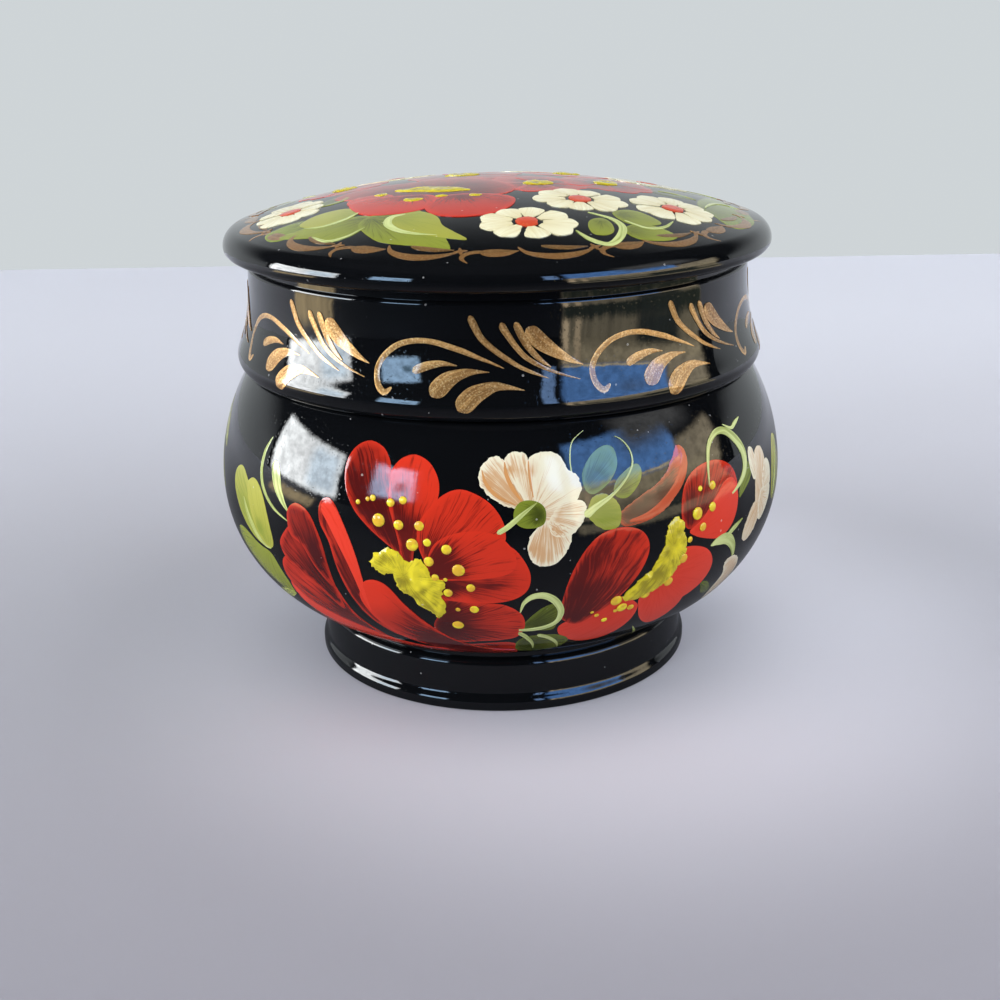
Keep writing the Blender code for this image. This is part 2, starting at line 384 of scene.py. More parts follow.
class Value:
    """What a node gives out, on which sums are written as sums."""

    def __init__(self, tree, socket):
        self.tree = tree
        self.socket = socket

    def __add__(self, other):
        return self.tree.maths("ADD", self, other)

    def __sub__(self, other):
        return self.tree.maths("SUBTRACT", self, other)

    def __rsub__(self, other):
        return self.tree.maths("SUBTRACT", other, self)

    def __mul__(self, other):
        return self.tree.maths("MULTIPLY", self, other)

    def __truediv__(self, other):
        return self.tree.maths("DIVIDE", self, other)


class Tree:
    """A node tree under construction."""

    def __init__(self, tree):
        self.tree = tree

    def link(self, value, node, key):
        self.tree.links.new(value.socket, node.inputs[key])

    def node(self, kind, inputs=None, **settings):
        """Adds a node, sets its options and its inputs. A value given as an input is linked."""
        node = self.tree.nodes.new(kind)
        for name, value in settings.items():
            setattr(node, name, value)
        for key, value in (inputs or {}).items():
            if isinstance(value, Value):
                self.link(value, node, key)
            else:
                node.inputs[key].default_value = value
        return node

    def out(self, kind, inputs=None, output=0, **settings):
        """Adds a node and gives one of its outputs."""
        return Value(self, self.node(kind, inputs, **settings).outputs[output])

    def outs(self, kind, inputs=None, **settings):
        """Adds a node and gives its outputs by name."""
        return {socket.name: Value(self, socket) for socket in self.node(kind, inputs, **settings).outputs}

    def group(self, inner, inputs=None):
        return self.outs("ShaderNodeGroup", inputs, node_tree=inner)

    def place(self):
        return self.out("ShaderNodeTexCoord", output="Object")

    def parts(self, vector):
        """The three parts of a vector."""
        node = self.node("ShaderNodeSeparateXYZ", {0: vector})
        return [Value(self, socket) for socket in node.outputs]

    def joined(self, *parts):
        """A vector of its parts."""
        return self.out("ShaderNodeCombineXYZ", dict(enumerate(parts)))

    def vector(self, operation, *values, **named):
        return self.out("ShaderNodeVectorMath", {**dict(enumerate(values)), **named}, operation=operation)

    def maths(self, operation, *values):
        return self.out("ShaderNodeMath", dict(enumerate(values)), operation=operation)

    def mix(self, factor, first, second, blend="MIX"):
        """Mixes two colours."""
        inputs = {0: factor, 6: first, 7: second}
        for index in (6, 7):
            if not isinstance(inputs[index], Value):
                inputs[index] = (*inputs[index][:3], 1.0)
        return self.out("ShaderNodeMix", inputs, 2, data_type="RGBA", blend_type=blend)

    def times(self, colour, red, green, blue):
        """A colour times a share for each of its parts."""
        shares = self.out("ShaderNodeCombineColor", {0: red, 1: green, 2: blue})
        return self.mix(1.0, colour, shares, "MULTIPLY")

    def ramp(self, value, low, high, start=0.0, end=1.0):
        """Runs smoothly from start to end as the value goes from low to high."""
        settings = {"Value": value, "From Min": low, "From Max": high, "To Min": start, "To Max": end}
        return self.out("ShaderNodeMapRange", settings, interpolation_type="SMOOTHSTEP")

    def noise(self, vector, scale, detail=2.0, roughness=0.5):
        settings = {"Vector": vector, "Scale": scale, "Detail": detail, "Roughness": roughness}
        return self.out("ShaderNodeTexNoise", settings)

    def bump(self, height, depth, normal=None):
        settings = {"Strength": 1.0, "Distance": depth, "Height": height}
        if normal:
            settings["Normal"] = normal
        return self.out("ShaderNodeBump", settings)


def once(collection):
    """Decorates a maker of a group or a material, which is made once under the name given first."""
    def decorated(make):
        def made(name, *given):
            return getattr(bpy.data, collection).get(name) or make(name, *given)
        return made
    return decorated


def group_of(name, inputs, outputs, kind="ShaderNodeTree"):
    """A new node group. An input is a kind of socket, or the number that it starts with."""
    group = bpy.data.node_groups.new(name, kind)
    for title, start in inputs.items():
        if isinstance(start, str):
            group.interface.new_socket(title, in_out="INPUT", socket_type=start)
        else:
            socket = "NodeSocketInt" if isinstance(start, int) else FLOAT
            group.interface.new_socket(title, in_out="INPUT", socket_type=socket).default_value = start
    for title, socket in outputs.items():
        group.interface.new_socket(title, in_out="OUTPUT", socket_type=socket)
    tree = Tree(group)
    return tree, tree.outs("NodeGroupInput"), tree.node("NodeGroupOutput")


# Gloss coat: fineness of the pits against the peel, cells of dust per millimetre and their size
PIT_FINENESS = 1.7
PIT_RANGE = (0.66, 0.78)
DUST_CELLS = 0.75
DUST_SIZE = 0.11
DUST_SHARE = 0.7

# Bristle marks: the brush's wander, the broad marks against the fine, and how cover moves the edge
WANDER = 0.8 * MM
WANDER_FINENESS = 0.25 / MM
BROAD_FINENESS = 0.3
BROAD_SHARE = 0.3
FINE_MARKS = 0.7
COVER_SLOPE = -0.36
COVER_START = 0.68


@once("node_groups")
def varnish_group(name):
    """Gloss coat: the soft waviness of sprayed lacquer, small pits, and a few specks of dust."""
    tree, given, result = group_of(name, {"Wave per mm": 0.3, "Peel per mm": 1.9, "Peel share": 0.13,
                                          "Pit depth": 0.3, "Dust": 0.35},
                                   {"Height": FLOAT, "Dust": FLOAT})
    millimetres = tree.vector("SCALE", tree.place(), Scale=1 / MM)
    wave = tree.noise(millimetres, given["Wave per mm"], 1.0)
    peel = tree.noise(millimetres, given["Peel per mm"], 3.0, 0.55)
    pits = tree.noise(millimetres, given["Peel per mm"] * PIT_FINENESS, 1.0)
    deep = tree.ramp(pits, *PIT_RANGE) * given["Pit depth"]
    cells = tree.outs("ShaderNodeTexVoronoi",
                      {"Vector": millimetres, "Scale": DUST_CELLS, "Randomness": 1.0})
    lottery = tree.out("ShaderNodeSeparateColor", {0: cells["Color"]})
    size = tree.ramp(lottery, DUST_SHARE, 1.0) * DUST_SIZE
    dust = tree.maths("LESS_THAN", cells["Distance"], size)
    tree.link(wave + peel * given["Peel share"] - deep, result, "Height")
    tree.link(dust * given["Dust"], result, "Dust")
    return tree.tree


@once("node_groups")
def streaks_group(name):
    """Bristle marks along a stroke, whose first part runs along it in metres. Cover is their share."""
    tree, given, result = group_of(name, {"Stroke": VECTOR, "Bristles per mm": 2.2, "Length share": 0.05,
                                          "Cover": 0.5, "Softness": 0.1},
                                   {"Streak": FLOAT, "Height": FLOAT})
    along, across, up = tree.parts(given["Stroke"])
    wander = tree.noise(tree.joined(along, across), WANDER_FINENESS, 1.0)
    straight = tree.joined(along * given["Length share"], across)
    flow = tree.vector("ADD", straight, tree.joined(0.0, wander * WANDER))
    scale = given["Bristles per mm"] / MM
    fine = tree.noise(flow, scale, 4.0, 0.62)
    broad = tree.noise(flow, scale * BROAD_FINENESS, 2.0, 0.5)
    least = tree.maths("MULTIPLY_ADD", given["Cover"], COVER_SLOPE, COVER_START)
    soft = given["Softness"]
    streak = tree.ramp(fine * FINE_MARKS + broad * BROAD_SHARE, least - soft, least + soft)
    tree.link(streak, result, "Streak")
    tree.link(fine, result, "Height")
    return tree.tree


def material_tree(name, roughness=None, coat_roughness=None):
    """A new material with its shader. Under a gloss coat, the body's own shine is off."""
    material = bpy.data.materials.new(name)
    material.use_nodes = True
    shader = material.node_tree.nodes["Principled BSDF"]
    if coat_roughness:
        for title, value in (("Roughness", roughness), ("Specular IOR Level", 0.0), ("Coat Weight", 1.0),
                             ("Coat Roughness", coat_roughness), ("Coat IOR", 1.5)):
            shader.inputs[title].default_value = value
    return material, Tree(material.node_tree), shader


# Relief of the varnish and of the turning marks, and how the inside differs
VARNISH_DEPTH = 0.011 * MM
SATIN_TURNING = 0.02 * MM
TURNED_RINGS = 3.2 / MM
WORN_SHARE = 0.35
SATIN_LOSS = 0.75
BODY_ROUGHNESS = (0.4, 0.28)
LACQUER_COAT = 0.018


@once("materials")
def lacquer_material(name, paint):
    """Black lacquer: deep gloss outside, satin and turning marks inside."""
    material, tree, shader = material_tree(name, BODY_ROUGHNESS[0], LACQUER_COAT)
    inside = tree.out("ShaderNodeAttribute", output="Fac", attribute_name="inside")
    varnish = tree.group(varnish_group("varnish"))
    right, away, up = tree.parts(tree.place())
    radius = tree.maths("SQRT", tree.maths("POWER", right, 2.0) + tree.maths("POWER", away, 2.0))
    rings = tree.noise(tree.joined(radius, 0.0, up), TURNED_RINGS, 3.0, 0.6)
    worn = tree.ramp(rings, 0.45, 0.7) * inside
    body = tree.mix(inside, paint.lacquer, paint.inside)
    body = tree.mix(worn * WORN_SHARE, body, paint.worn)
    tree.link(tree.mix(varnish["Dust"], body, paint.lacquer_dust), shader, "Base Color")
    tree.link(1.0 - inside * SATIN_LOSS, shader, "Coat Weight")
    tree.link(tree.ramp(inside, 0.0, 1.0, *BODY_ROUGHNESS), shader, "Roughness")
    turned = tree.bump(rings * inside, SATIN_TURNING, tree.bump(varnish["Height"], VARNISH_DEPTH))
    tree.link(turned, shader, "Normal")
    tree.link(turned, shader, "Coat Normal")
    return material


# Brushes: bristles per millimetre, strength and softness of their marks, relief in millimetres and
# the gloss coat's roughness
BRUSHES = {
    "poppy_paint": (4.0, 0.82, 0.085, 0.012, 0.03),
    "petal_cream": (3.0, 0.8, 0.085, 0.02, 0.05),
    "leaf_paint": (2.8, 0.7, 0.11, 0.012, 0.03),
    "stamen_yellow": (3.2, 0.8, 0.06, 0.03, 0.08),
}
# The other paints' relief, fineness and gloss
COAT_RELIEF = 0.004 * MM
PAINT_ROUGHNESS = 0.5
GRAINY_COAT = 0.06
DOT_PATCHES = 1.1 / MM
DOT_GRAINS = 3.0 / MM
DOT_GRAIN = 0.03 * MM
GOLD_ROUGHNESS = 0.42
GOLD_METALLIC = 0.5
GOLD_FLAKES = 4.6 / MM
GOLD_GRAIN = 0.02 * MM
DULL_SHARE = 0.7


def stroke_marks(tree, settings=None):
    """A stroke's two colours, its bristle marks and their height."""
    tone = tree.outs("ShaderNodeAttribute", attribute_name="tone")
    deep = tree.out("ShaderNodeAttribute", attribute_name="deep")
    stroke = tree.out("ShaderNodeUVMap", uv_map="stroke")
    inputs = {"Stroke": stroke, "Cover": tone["Alpha"], **(settings or {})}
    streaks = tree.group(streaks_group("brush_streaks"), inputs)
    return tone["Color"], deep, streaks["Streak"], streaks["Height"]


@once("materials")
def brushed_material(name, paint):
    """Oil paint brushed on under the gloss coat. Its two colours and its streaks lie on the strokes."""
    bristles, strength, softness, relief, coat_roughness = BRUSHES[name]
    material, tree, shader = material_tree(name, PAINT_ROUGHNESS, coat_roughness)
    tone, deep, streak, height = stroke_marks(tree, {"Bristles per mm": bristles, "Softness": softness})
    body = tree.mix(streak * strength, tone, deep)
    varnish = tree.group(varnish_group("varnish"))
    tree.link(tree.mix(varnish["Dust"], body, paint.paint_dust), shader, "Base Color")
    tree.link(tree.bump(height, relief * MM), shader, "Normal")
    coat = tree.bump(varnish["Height"], VARNISH_DEPTH, tree.bump(height, COAT_RELIEF))
    tree.link(coat, shader, "Coat Normal")
    return material


@once("materials")
def pollen_material(name, paint):
    """Thick yellow dots, orange in soft patches, with a fine grain."""
    material, tree, shader = material_tree(name, PAINT_ROUGHNESS, GRAINY_COAT)
    place = tree.place()
    patchy = tree.ramp(tree.noise(place, DOT_PATCHES, 2.0), 0.42, 0.62)
    tree.link(tree.mix(patchy, paint.pollen, paint.yellow), shader, "Base Color")
    tree.link(tree.bump(tree.noise(place, DOT_GRAINS, 2.0), DOT_GRAIN), shader, "Normal")
    return material


@once("materials")
def gold_material(name, paint, strength):
    """Bronze powder paint: fine flakes, the brightest with painted glints, thin and brown where the brush
    ran dry.
    """
    material, tree, shader = material_tree(name, GOLD_ROUGHNESS, GRAINY_COAT)
    shader.inputs["Metallic"].default_value = GOLD_METALLIC
    tone, deep, streak, height = stroke_marks(tree)
    flakes = tree.noise(tree.place(), GOLD_FLAKES, 3.0, 0.75)
    body = tree.mix(streak, tone, deep)
    # Painted glints: the brightest flakes take the light glint colour
    bright = tree.mix(tree.ramp(flakes, 0.52, 0.64) * strength, body, paint.glint)
    dull = tree.ramp(flakes, 0.47, 0.37) * DULL_SHARE
    tree.link(tree.mix(dull, bright, deep), shader, "Base Color")
    tree.link(tree.bump(flakes, GOLD_GRAIN), shader, "Normal")
    return material


# Geometry trees


def finished(tree, geometry, given, result):
    """Ends a geometry tree with real instances and its material."""
    real = tree.out("GeometryNodeRealizeInstances", {0: geometry})
    tree.link(tree.out("GeometryNodeSetMaterial", {0: real, "Material": given["Material"]}), result, 0)
    return tree.tree


@once("node_groups")
def turning_group(name):
    """Turns an outline round the upright axis into a closed shell."""
    tree, given, result = group_of(name, {"Geometry": GEOMETRY, "Segments": 64, "Axis circle": 0.001,
                                          "Merge distance": 0.000001, "Material": MATERIAL},
                                   {"Geometry": GEOMETRY}, "GeometryNodeTree")
    outline = tree.out("GeometryNodeMeshToCurve", {0: given["Geometry"]})
    circle = tree.out("GeometryNodeCurvePrimitiveCircle",
                      {"Resolution": given["Segments"], "Radius": given["Axis circle"]})
    shell = tree.out("GeometryNodeCurveToMesh", {0: circle, 1: outline})
    merged = tree.out("GeometryNodeMergeByDistance", {0: shell, "Distance": given["Merge distance"]})
    return finished(tree, tree.out("GeometryNodeSetShadeSmooth", {0: merged}), given, result)


# Steps between the motifs in front, and the fineness of a dot
FRONT_STEPS = 4.0
DOT_SEGMENTS, DOT_RINGS = 14, 8


@once("node_groups")
def ring_group(name):
    """Repeats a motif round the axis: five at the front step apart, and the rest evenly in what is left."""
    tree, given, result = group_of(name, {"Geometry": GEOMETRY, "Count": 8, "Front step": 0.75,
                                          "Material": MATERIAL},
                                   {"Geometry": GEOMETRY}, "GeometryNodeTree")
    points = tree.out("GeometryNodePoints", {"Count": given["Count"]})
    index = tree.out("GeometryNodeInputIndex")
    step = given["Front step"]
    back_step = (2 * math.pi - step * FRONT_STEPS) / (given["Count"] - FRONT_STEPS)
    further = tree.maths("MAXIMUM", index - FRONT_STEPS, 0.0)
    turn = tree.joined(0.0, 0.0, (index - FRONT_STEPS / 2) * step + further * (back_step - step))
    places = tree.out("GeometryNodeInstanceOnPoints",
                      {"Points": points, "Instance": given["Geometry"], "Rotation": turn})
    return finished(tree, places, given, result)


@once("node_groups")
def dots_group(name):
    """Sets a low round dot of paint on each point, square to the surface there."""
    tree, given, result = group_of(name, {"Geometry": GEOMETRY, "Height share": 0.4, "Material": MATERIAL},
                                   {"Geometry": GEOMETRY}, "GeometryNodeTree")
    points = tree.out("GeometryNodeMeshToPoints", {0: given["Geometry"]})
    ball = tree.out("GeometryNodeMeshUVSphere",
                    {"Segments": DOT_SEGMENTS, "Rings": DOT_RINGS, "Radius": 1.0})
    smooth = tree.out("GeometryNodeSetShadeSmooth", {0: ball})
    facing = tree.out("GeometryNodeInputNamedAttribute", {"Name": "facing"}, data_type="FLOAT_VECTOR")
    size = tree.out("GeometryNodeInputNamedAttribute", {"Name": "size"}, data_type="FLOAT")
    turn = tree.out("FunctionNodeAlignEulerToVector", {"Vector": facing}, axis="Z")
    places = tree.out("GeometryNodeInstanceOnPoints",
                      {"Points": points, "Instance": smooth, "Rotation": turn,
                       "Scale": tree.joined(size, size, size * given["Height share"])})
    return finished(tree, places, given, result)


def baked(name, mesh, group, settings):
    """Runs a geometry tree on a mesh and keeps the result as a plain piece."""
    piece = bpy.data.objects.new(name, mesh)
    bpy.context.scene.collection.objects.link(piece)
    modifier = piece.modifiers.new(group.name, "NODES")
    modifier.node_group = group
    sockets = {item.name: item.identifier for item in group.interface.items_tree if item.in_out == "INPUT"}
    for title, value in settings.items():
        modifier[sockets[title]] = value
    bpy.context.view_layer.update()
    result = bpy.data.meshes.new_from_object(piece.evaluated_get(bpy.context.evaluated_depsgraph_get()))
    piece.modifiers.remove(modifier)
    piece.data = result
    result.name = name
    bpy.data.meshes.remove(mesh)
    return piece


def plain(name, mesh, material):
    """A finished mesh as a piece."""
    mesh.name = name
    mesh.materials.append(material)
    piece = bpy.data.objects.new(name, mesh)
    bpy.context.scene.collection.objects.link(piece)
    return piece


def settled(piece, body, *replaced):
    """Lets a piece ride on its body."""
    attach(piece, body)
    if replaced:
        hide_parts(*replaced)
    return piece


def turned_shell(name, parts, material):
    """A closed shell, turned from an outline. Each part of it says how far it is satin, as inside."""
    profile = []
    for points, mark in parts:
        for point in points:
            if not profile or math.dist(point, profile[-1][0]) > MERGE_DISTANCE:
                profile.append((point, mark))
    mesh = bpy.data.meshes.new(name + "_outline")
    places = [(radius - AXIS_CIRCLE, -height, 0.0) for (radius, height), mark in profile]
    mesh.from_pydata(places, [(i, i + 1) for i in range(len(places) - 1)], [])
    marks = mesh.attributes.new("inside", "FLOAT", "POINT")
    marks.data.foreach_set("value", [mark for point, mark in profile])
    settings = {"Segments": TURN_SEGMENTS, "Axis circle": AXIS_CIRCLE, "Merge distance": MERGE_DISTANCE,
                "Material": material}
    piece = baked(name, mesh, turning_group("turn_outline"), settings)
    if volume(piece.data) < 0:
        piece.data.flip_normals()
    piece.data.set_sharp_from_angle(angle=SHARP_ANGLE)
    return piece


def volume(mesh):
    """The signed volume that a mesh closes in."""
    mesh.calc_loop_triangles()
    corners = [vertex.co for vertex in mesh.vertices]
    total = 0.0
    for triangle in mesh.loop_triangles:
        a, b, c = (corners[i] for i in triangle.vertices)
        total += a.dot(b.cross(c))
    return total / 6


# Painting

PAINT_STEP = 0.014 * MM
EDGE_DROP = 0.008 * MM
TUCK = 0.03 * MM
SOFT_EDGE = 0.13 * MM
EDGE_STEP = 0.3 * MM
PATCH_STEP = 0.75 * MM
STROKE_STEP = 0.28 * MM
SPAN_STEPS = 24
FAN_WIDTH = 9.0 * MM
HEART_TONE = 0.4
SHADE_TONE = 0.75
SHADE_COVER = 0.5
BRIGHT_EDGE = 0.6 * MM
EDGE_SHARE = 0.35
STREAK_REACH = 0.85
HEART_SIZE = 0.1
DRIFT = 50.0

# Net of a patch: inner points, as shares of the soft edge and of the step, and the filling's options
LEAST_INNER = 0.8
LEAST_GAP = 0.3
INSIDE_ONLY = 1
SAME_POINT = 0.0001

# Lumps of thick paint, and how their low and high places are toned. The low places take more of the
# deeper colour, which on the stamens is painted shade in the hollows between the lumps; the tops keep the
# light one.
COARSE_LUMP = 0.9 * MM
FINE_LUMP = 0.32 * MM
LUMP_RISE = 0.45 * MM
LUMP_MEAN = 0.6
COARSE_SHARE = 0.55
FINE_SHARE = 0.25
LOW_SHADE = 0.75
HIGH_LIGHT = 0.9

# Strokes: the columns of their net by width, and their round heads
STROKE_COLUMNS = ((1.1 * MM, 4), (2.4 * MM, 6), (math.inf, 8))
LEAST_HEAD = 0.05 * MM
HEAD_START = 0.02 * MM
LEAST_WIDTH = 0.06 * MM


def mixed(first, second, amount):
    """One colour or place run into another."""
    return tuple(a + (b - a) * amount for a, b in zip(first, second))


def eased(value, low, high):
    """A smooth step from 0 at low to 1 at high."""
    t = min(max((value - low) / (high - low), 0.0), 1.0)
    return t * t * (3 - 2 * t)


def grouped(numbers, size):
    """Numbers that follow each other, taken two, three or four at a time."""
    return [numbers[i:i + size] for i in range(0, len(numbers), size)]


def left_of(before, after):
    """The direction to the left, on the way from one place to another."""
    across, up = after[0] - before[0], after[1] - before[1]
    size = math.hypot(across, up) or 1.0
    return -up / size, across / size


def paint_pairs(paint):
    """The paints by name, each with the deeper colour that its bristle marks show."""
    leaf, deep, yellow, pale = paint.leaf, paint.leaf_deep, paint.leaf_yellow, paint.leaf_pale
    return {
        "red": (paint.poppy, paint.poppy_deep),
        "bright red": (paint.poppy_light, paint.poppy),
        "bud": (paint.bud, paint.bud_deep),
        "bud edge": (paint.bud, paint.bud),
        "cream": (paint.cream, paint.cream_tan),
        "peach": (mixed(paint.cream, paint.cream_tan, 0.3), paint.cream_tan),
        "orange": (mixed(paint.cream_tan, paint.orange, 0.5), paint.cream_tan),
        "daisy": (paint.daisy, paint.daisy_deep),
        "daisy heart": (paint.daisy_heart, paint.daisy_heart_light),
        "yellow": (paint.yellow, paint.yellow_streaks_and_shade),
        "olive": (leaf, deep),
        "dark": (mixed(leaf, deep, 0.45), deep),
        "lid dark": (mixed(leaf, deep, 0.35), deep),
        "blue": (paint.leaf_blue, deep),
        "green": (mixed(leaf, yellow, 0.25), deep),
        "lid green": (mixed(leaf, yellow, 0.2), deep),
        "fresh": (mixed(leaf, yellow, 0.3), leaf),
        "lid lime": (mixed(yellow, leaf, 0.35), leaf),
        "lime": (mixed(yellow, leaf, 0.2), leaf),
        "sunny": (yellow, leaf),
        "bright lime": (mixed(yellow, pale, 0.4), leaf),
        "light lime": (mixed(yellow, pale, 0.6), leaf),
        "pale": (pale, leaf),
        "gold": (paint.gold, paint.gold_deep),
        "border": (paint.border, mixed(paint.border, deep, 0.5)),
    }


def even_path(points, step, closed=False):
    """A smooth curve through the points, in even steps. A point given twice is a sharp corner."""
    count = len(points)
    fine = []
    for i in range(count if closed else count - 1):
        if closed:
            four = [points[(i + k) % count] for k in (-1, 0, 1, 2)]
        else:
            four = [points[min(max(i + k, 0), count - 1)] for k in (-1, 0, 1, 2)]
        if math.dist(four[1][:2], four[2][:2]) < MERGE_DISTANCE:
            continue
        for j in range(SPAN_STEPS):
            t = j / SPAN_STEPS
            fine.append(tuple(0.5 * (2 * b + (c - a) * t + (2 * a - 5 * b + 4 * c - d) * t**2
                                     + (3 * b - a - 3 * c + d) * t**3) for a, b, c, d in zip(*four)))
    fine.append(tuple(points[0] if closed else points[-1]))
    lengths = [0.0]
    for a, b in zip(fine, fine[1:]):
        lengths.append(lengths[-1] + math.dist(a[:2], b[:2]))
    pieces = max(6, round(lengths[-1] / step))
    path = []
    for i in range(pieces if closed else pieces + 1):
        target = lengths[-1] * i / pieces
        j = min(max(bisect.bisect_right(lengths, target) - 1, 0), len(fine) - 2)
        span = lengths[j + 1] - lengths[j]
        path.append(mixed(fine[j], fine[j + 1], (target - lengths[j]) / span if span else 0.0))
    return path


class SideGround:
    """The outside of a turned wall. Flat places on it are metres round it and metres up its outline."""

    def __init__(self, outline, zero_height):
        self.outline = outline
        self.down = [0.0]
        for a, b in zip(outline, outline[1:]):
            self.down.append(self.down[-1] + math.dist(a, b))
        self.normals = outline_normals(outline)
        self.reach = max(radius for radius, height in outline)
        self.zero = 0.0
        self.zero = -self.up_to(zero_height)

    def up_to(self, height):
        """How far up the outline a height is, from the zero line."""
        for i, (a, b) in enumerate(zip(self.outline, self.outline[1:])):
            if b[1] <= height <= a[1] and a[1] > b[1]:
                return self.zero - self.down[i] - (a[1] - height) / (a[1] - b[1]) * math.dist(a, b)
        raise ValueError("height off the outline")

    def flat(self, degrees, along):
        """A flat place from degrees round, and millimetres up the outline from the zero line."""
        return math.radians(degrees) * self.reach, along * MM

    def at(self, place, lift=0.0):
        """Where a flat place lies in space, raised off the ground by the lift."""
        turn = place[0] / self.reach
        down = self.zero - place[1]
        i = min(max(bisect.bisect_right(self.down, down) - 1, 0), len(self.down) - 2)
        part = (down - self.down[i]) / (self.down[i + 1] - self.down[i])
        normal = mixed(self.normals[i], self.normals[i + 1], part)
        radius, height = mixed(self.outline[i], self.outline[i + 1], part)
        radius += lift * normal[0]
        return Vector((radius * math.sin(turn), -radius * math.cos(turn), height + lift * normal[1]))


class BandGround(SideGround):
    """The lid's band, on which places are read in degrees round and millimetres over the floor."""

    def flat(self, degrees, height):
        """A flat place from degrees round, and millimetres over the floor."""
        return math.radians(degrees) * self.reach, self.up_to(height * MM)


class TopGround:
    """The lid's crown. Flat places on it are metres across, as seen from above, with the front at -Y."""

    def __init__(self, outline):
        widest = max(range(len(outline)), key=lambda i: outline[i][0])
        self.outline = outline[:widest + 1]
        self.radii = [radius for radius, height in self.outline]
        self.normals = outline_normals(self.outline)

    def flat(self, across, away):
        """A flat place from millimetres across and away."""
        return across * MM, away * MM

    def at(self, place, lift=0.0):
        """Where a flat place lies in space, raised off the ground by the lift."""
        radius = math.hypot(*place[:2])
        i = min(max(bisect.bisect_right(self.radii, radius) - 1, 0), len(self.radii) - 2)
        part = (radius - self.radii[i]) / (self.radii[i + 1] - self.radii[i])
        normal = mixed(self.normals[i], self.normals[i + 1], part)
        height = self.outline[i][1] + (self.outline[i + 1][1] - self.outline[i][1]) * part
        out = 1 + lift * normal[0] / radius if radius else 1.0
        return Vector((place[0] * out, place[1] * out, height + lift * normal[1]))


def outline_normals(outline):
    """Outward normals along an outline that runs down the outer side."""
    normals = []
    for i in range(len(outline)):
        before, after = outline[max(i - 1, 0)], outline[min(i + 1, len(outline) - 1)]
        across, down = after[0] - before[0], before[1] - after[1]
        size = math.hypot(across, down)
        normals.append((down / size, across / size))
    return normals


def edge_depth(edge):
    """A measure of how far inside an edge a place is, and the ways inwards all along it."""
    count = len(edge)
    inward = [left_of(edge[i - 1], edge[(i + 1) % count]) for i in range(count)]
    tree = KDTree(count)
    for i, (x, y) in enumerate(edge):
        tree.insert((x, y, 0.0), i)
    tree.balance()

    def depth(place):
        nearest, i, distance = tree.find((*place, 0.0))
        side = (place[0] - edge[i][0]) * inward[i][0] + (place[1] - edge[i][1]) * inward[i][1]
        return distance if side > 0 else -distance

    return depth, inward


def filled(edge, step, depth, inward):
    """A net inside an edge: its places, whether each is on the rim, and its faces."""
    count = len(edge)
    points = list(edge)
    for (x, y), (right, up) in zip(edge, inward):
        inner = (x + right * SOFT_EDGE, y + up * SOFT_EDGE)
        if depth(inner) > LEAST_INNER * SOFT_EDGE:
            points.append(inner)
    low = [min(p[axis] for p in edge) for axis in (0, 1)]
    high = [max(p[axis] for p in edge) for axis in (0, 1)]
    for row in range(int((high[1] - low[1]) / step) + 1):
        for column in range(int((high[0] - low[0]) / step) + 1):
            place = (low[0] + (column + 0.5 * (row % 2)) * step, low[1] + row * step)
            if depth(place) > SOFT_EDGE + LEAST_GAP * step:
                points.append(place)
    scaled = [Vector((x / MM, y / MM)) for x, y in points]
    found = delaunay_2d_cdt(scaled, [], [list(range(count))], INSIDE_ONLY, SAME_POINT)
    rim = [any(i < count for i in given) or not given for given in found[3]]
    return [(v.x * MM, v.y * MM) for v in found[0]], rim, [tuple(face) for face in found[2]]


